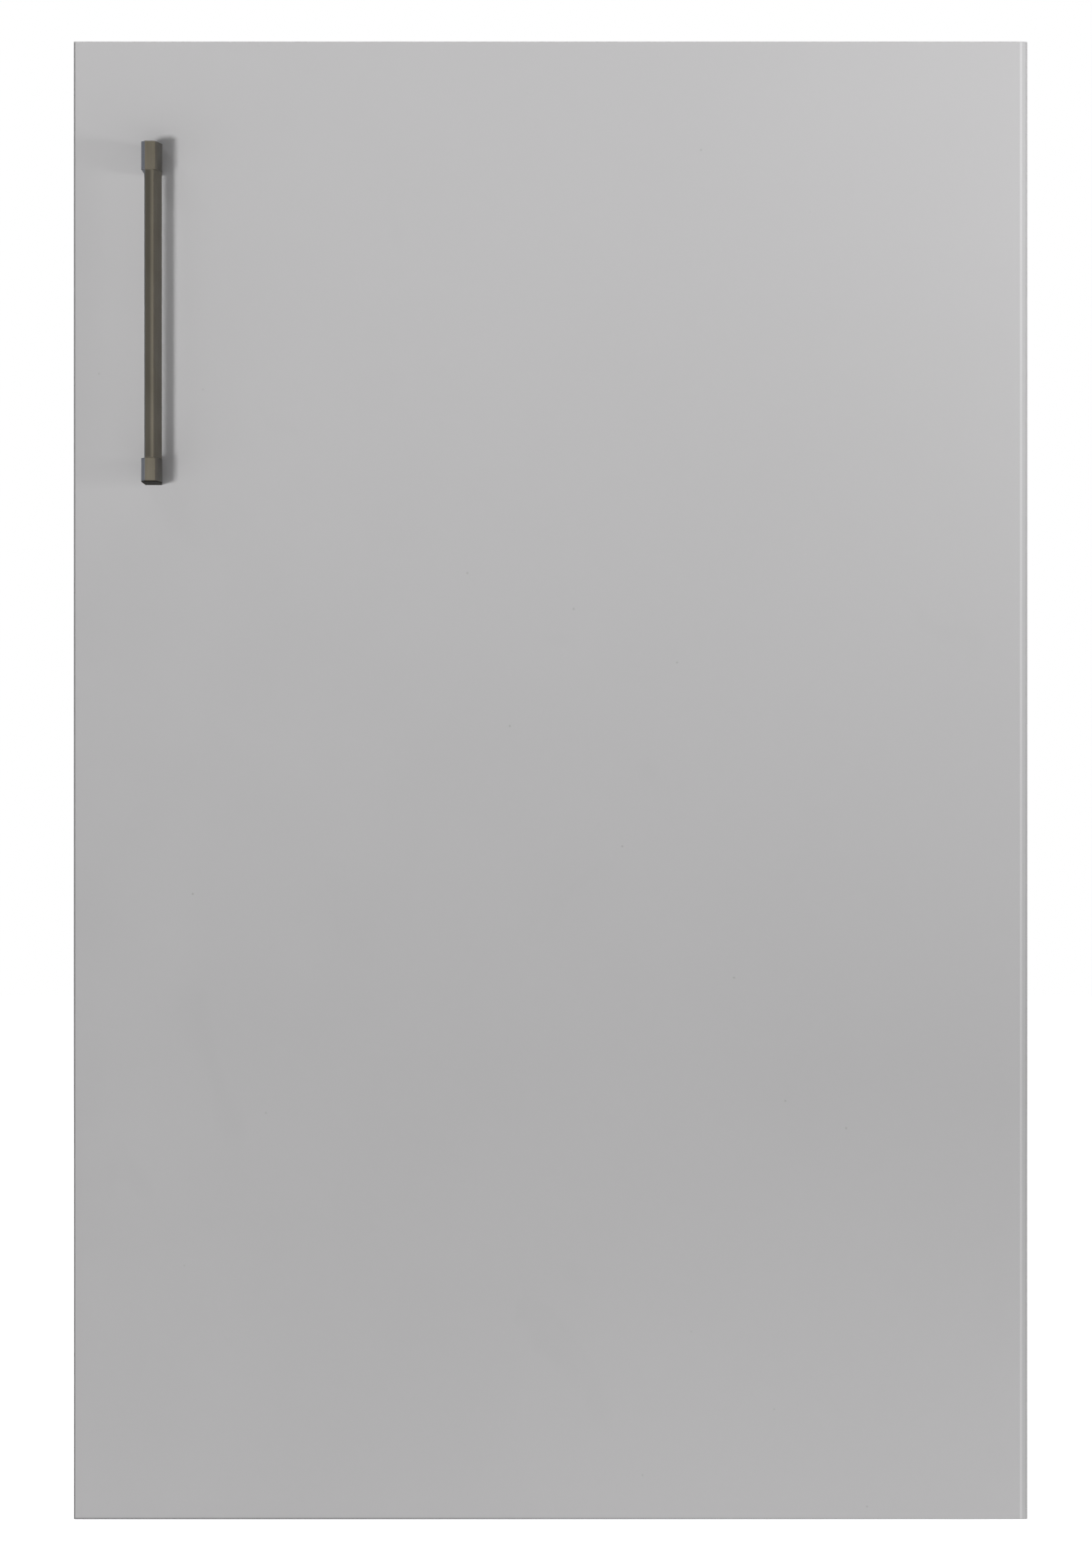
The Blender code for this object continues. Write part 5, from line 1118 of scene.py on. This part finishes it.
def small_machine_parts():
    low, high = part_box("relay_cover")
    cover = block(tuple(low), tuple(high), 0.0045, 5)
    clip = block((low.x + 0.004, low.y + 0.014, high.z - 0.0016), (high.x - 0.0004, high.y - 0.014, high.z),
                 0.0006, 2)
    fins = [block((high.x - 0.0012, low.y + 0.009, z), (high.x, high.y - 0.009, z + 0.0016), 0.0005, 2)
            for z in (low.z + 0.012, low.z + 0.019, low.z + 0.026, low.z + 0.033)]
    cover = carved(cover, *[moved(fin, Matrix.Translation((0.0006, 0, 0))) for fin in fins])
    add_piece("relay_box", joined(cover, clip), "relay_cover")
    low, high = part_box("evaporation_tray")
    add_piece("drip_pan", moulded_tray(tuple(low), tuple(high), 0.0015, 0.0022, 0.01, 0.0012),
              "evaporation_tray", angle=40)
    low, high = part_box("drain_tube")
    bore, wall = 0.0055, 0.0075
    profile = [(bore, low.z + 0.0004), (bore + 0.0004, low.z), (wall - 0.0004, low.z), (wall, low.z + 0.0004)]
    profile += [(wall, high.z), (bore, high.z)]
    add_piece("drain_pipe", turned(profile, centre_of("drain_tube", "X", "Y"), "Z", 48, closed=True),
              "drain_tube")
    low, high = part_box("cord_gland")
    profile = [(0.004, low.y), (0.0112, low.y), (0.012, low.y + 0.0008), (0.012, high.y - 0.0072),
               (0.0112, high.y - 0.0064)]
    for step in range(3):
        place = high.y - 0.0058 + step * 0.0018
        profile += [(0.0088 - step * 0.0003, place), (0.0078 - step * 0.0003, place + 0.0009)]
    profile += [(0.007, high.y - 0.0003), (0.0062, high.y), (0.004, high.y)]
    add_piece("gland", turned(profile, centre_of("cord_gland", "X", "Z"), "Y", 48, closed=True), "cord_gland")


def condenser_route():
    """Up from the drier, then level passes joined by half circles."""
    drier_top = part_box("filter_drier")[1].z
    x, y, _ = centre_of("filter_drier", "X", "Y")
    way, rise = drier_top + 0.022, -0.184
    corners = [(x, y, drier_top + GAP), (x, y, way), (x, PASS_Y, way), (rise, PASS_Y, way),
               (rise, PASS_Y, PASS_LOW)]
    corners.append((-PASS_HALF + 0.01, PASS_Y, PASS_LOW))
    route = rounded_route(corners, 0.006)[:-1]
    radius = PASS_PITCH / 2
    for step in range(PASS_COUNT):
        z = PASS_LOW + step * PASS_PITCH
        side = 1 if step % 2 == 0 else -1
        if step > 0:
            route.append(Vector((-side * PASS_HALF, PASS_Y, z)))
        route.append(Vector((side * PASS_HALF, PASS_Y, z)))
        if step == PASS_COUNT - 1:
            break
        for turn in range(1, 16):
            angle = math.pi * turn / 16
            x = side * (PASS_HALF + radius * math.sin(angle))
            route.append(Vector((x, PASS_Y, z + radius * (1 - math.cos(angle)))))
    return route


def condenser():
    """The coil, upright wires spot-welded to both of its faces, and the strips that hold it."""
    add_piece("condenser_coil", pipe(condenser_route(), LINE_RADIUS, 16), "condenser_tube", angle=50)
    low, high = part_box("condenser_wires")
    radius = 0.0008
    wires = []
    for index in range(25):
        x = -PASS_HALF + 2 * PASS_HALF * index / 24
        for y in (high.y - radius, 2 * PASS_Y - high.y + radius):
            wires.append(pipe([(x, y, low.z), (x, y, high.z)], radius, 10))
    for z in (PASS_LOW, PASS_TOP):
        wires.append(pipe([(-PASS_HALF - 0.0008, high.y - radius, z),
                           (PASS_HALF + 0.0008, high.y - radius, z)], radius, 10))
    add_piece("condenser_grid", joined(*wires), "condenser_wires", angle=50)
    places = []
    for side, name in ((-1, "left"), (1, "right")):
        refined(f"stand_off_{name}", f"condenser_strip_{name}", (0.0003, 2))
        low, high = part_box(f"condenser_strip_{name}")
        places += [(side * 0.2115, low.y + 0.0015, z) for z in (0.28, 0.43, 0.58, 0.715)]
    screws("stand_off_screws", places, (0, 1, 0), "condenser_strip_left", 0.003, 0.0017)


def refrigerant_lines():
    x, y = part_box("discharge_line")[0].x + LINE_RADIUS, 0.202
    start_x = COMPRESSOR[0] - 0.0805 - 0.004
    z = COMPRESSOR_BASE + 0.07
    corners = [(start_x, y, z), (x, y, z), (x, 0.277, z), (x, 0.277, PASS_TOP), (x, PASS_Y, PASS_TOP)]
    corners.append((-PASS_HALF - GAP, PASS_Y, PASS_TOP))
    add_piece("hot_gas_pipe", pipe(rounded_route(corners, 0.006), LINE_RADIUS, 16), "discharge_line",
              angle=50)
    x, y, z, top = -0.11, 0.17, COMPRESSOR_BASE + 0.05, 0.362
    corners = [(start_x + 0.002, y, z), (x, y, z), (x, 0.247, z), (x, 0.247, top),
               (x, LINER_BACK + 0.0046, top)]
    add_piece("suction_pipe", pipe(rounded_route(corners, 0.006), 0.0031, 16), "suction_line", angle=50)
    low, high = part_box("filter_drier")
    length, neck, body = high.z - low.z, 0.003, 0.008
    profile = [(neck * 0.9, 0.0), (neck, 0.0006), (neck, 0.0085), (neck + 0.0008, 0.0105),
               (body * 0.72, 0.0165)]
    profile += [(body * 0.96, 0.0205), (body, 0.0235), (body, 0.036), (body - 0.0006, 0.0372), (body, 0.0384)]
    profile += [(radius, length - place) for radius, place in reversed(profile)]
    centre = ((low.x + high.x) / 2, (low.y + high.y) / 2, low.z)
    add_piece("drier", turned(profile, centre, "Z", 48), "filter_drier", angle=40)


door_skin()
door_caps()
door_liner()
door_gasket()
for rack_name, rack_floor in RACKS.items():
    door_rack(rack_name, rack_floor)
door_handle()
handle_screws()
cabinet_shell()
cabinet_liner()
hinges()
feet()
shelves()
crisper()
controls()
lighting_unit()
compressor()
mounts()
small_machine_parts()
condenser()
refrigerant_lines()
refined("machine_tray", "compressor_tray", (0.0005, 2))
for carried in ("cabinet_foam", "door_foam", "evaporator_plate"):
    NODES[carried].data.materials[0] = FINISHES[SLOTS[carried]]


# Studio


def floor():
    bm = bmesh.new()
    bmesh.ops.create_grid(bm, x_segments=8, y_segments=8, size=6.0)
    paper = to_object("studio_floor", bm)
    paper.data.materials.append(studio_floor())


def area_light(name, place, target, size, power, shape="DISK", height=None):
    data = bpy.data.lights.new(name, "AREA")
    data.shape = shape
    data.size = size
    if height:
        data.size_y = height
    data.energy = power
    light = bpy.data.objects.new(name, data)
    light.location = place
    light.rotation_euler = (Vector(target) - Vector(place)).to_track_quat("-Z", "Y").to_euler()
    light.visible_camera = False
    bpy.context.scene.collection.objects.link(light)


def world():
    """White to look at, and a softer white as light."""
    made = bpy.data.worlds.new("studio")
    bpy.context.scene.world = made
    made.use_nodes = True
    tree = made.node_tree
    seen = add_node(tree, "ShaderNodeLightPath").outputs["Is Camera Ray"]
    strength = add_node(tree, "ShaderNodeMapRange",
                        {"Value": seen, "To Min": WORLD_LIGHT, "To Max": 1.0}).outputs["Result"]
    background = tree.nodes["Background"]
    background.inputs["Color"].default_value = (1, 1, 1, 1)
    tree.links.new(strength, background.inputs["Strength"])


def camera():
    data = bpy.data.cameras.new("camera")
    data.sensor_fit = "VERTICAL"
    data.sensor_height = 36.0
    data.lens = CAMERA_LENS
    made = bpy.data.objects.new("camera", data)
    made.location = CAMERA_PLACE
    made.rotation_euler = (math.radians(90), 0, 0)
    bpy.context.scene.collection.objects.link(made)
    bpy.context.scene.camera = made


WORLD_LIGHT = 0.04
CAMERA_LENS = 109.46
CAMERA_PLACE = (-0.0024, -2.765, 0.3907)
SIDE_POWER = 4.5
floor()
world()
camera()
area_light("key", (-0.83, -2.565, 0.27), (-0.242, -2.389, 1.06), 0.36, 70.5)
area_light("fill_right", (1.286, -0.94, 0.5), (1.387, -0.265, 1.8), 0.5, 22.8)
area_light("fill_side", (1.2, -1.2, 0.5), (0.9, -0.265, 0.7), 0.5, 0.74)
area_light("fill_top", (-0.576, -0.904, 1.153), (0.096, -0.265, 1.796), 0.3, 1.4)
area_light("fill_low", (0.5, -0.55, 0.03), (0.5, -0.265, -0.3), 0.9, 0.066, "RECTANGLE", 0.05)
area_light("overhead", (0.0, 0.8, 2.2), (0.0, 0.1, 0.4), 1.6, 17.0, "RECTANGLE", 1.6)
for side, power in ((-1, 11.0), (1, 8.0)):
    area_light(f"side_{side}", (side * 1.9, 0.35, 1.0), (side * 0.2, 0.25, 0.4), 1.3, SIDE_POWER, "RECTANGLE",
               1.3)
    area_light(f"back_{side}", (side * 1.3, 2.1, 1.1), (0.0, 0.3, 0.4), 1.2, power, "RECTANGLE", 1.2)
bpy.context.scene.view_settings.view_transform = "Standard"
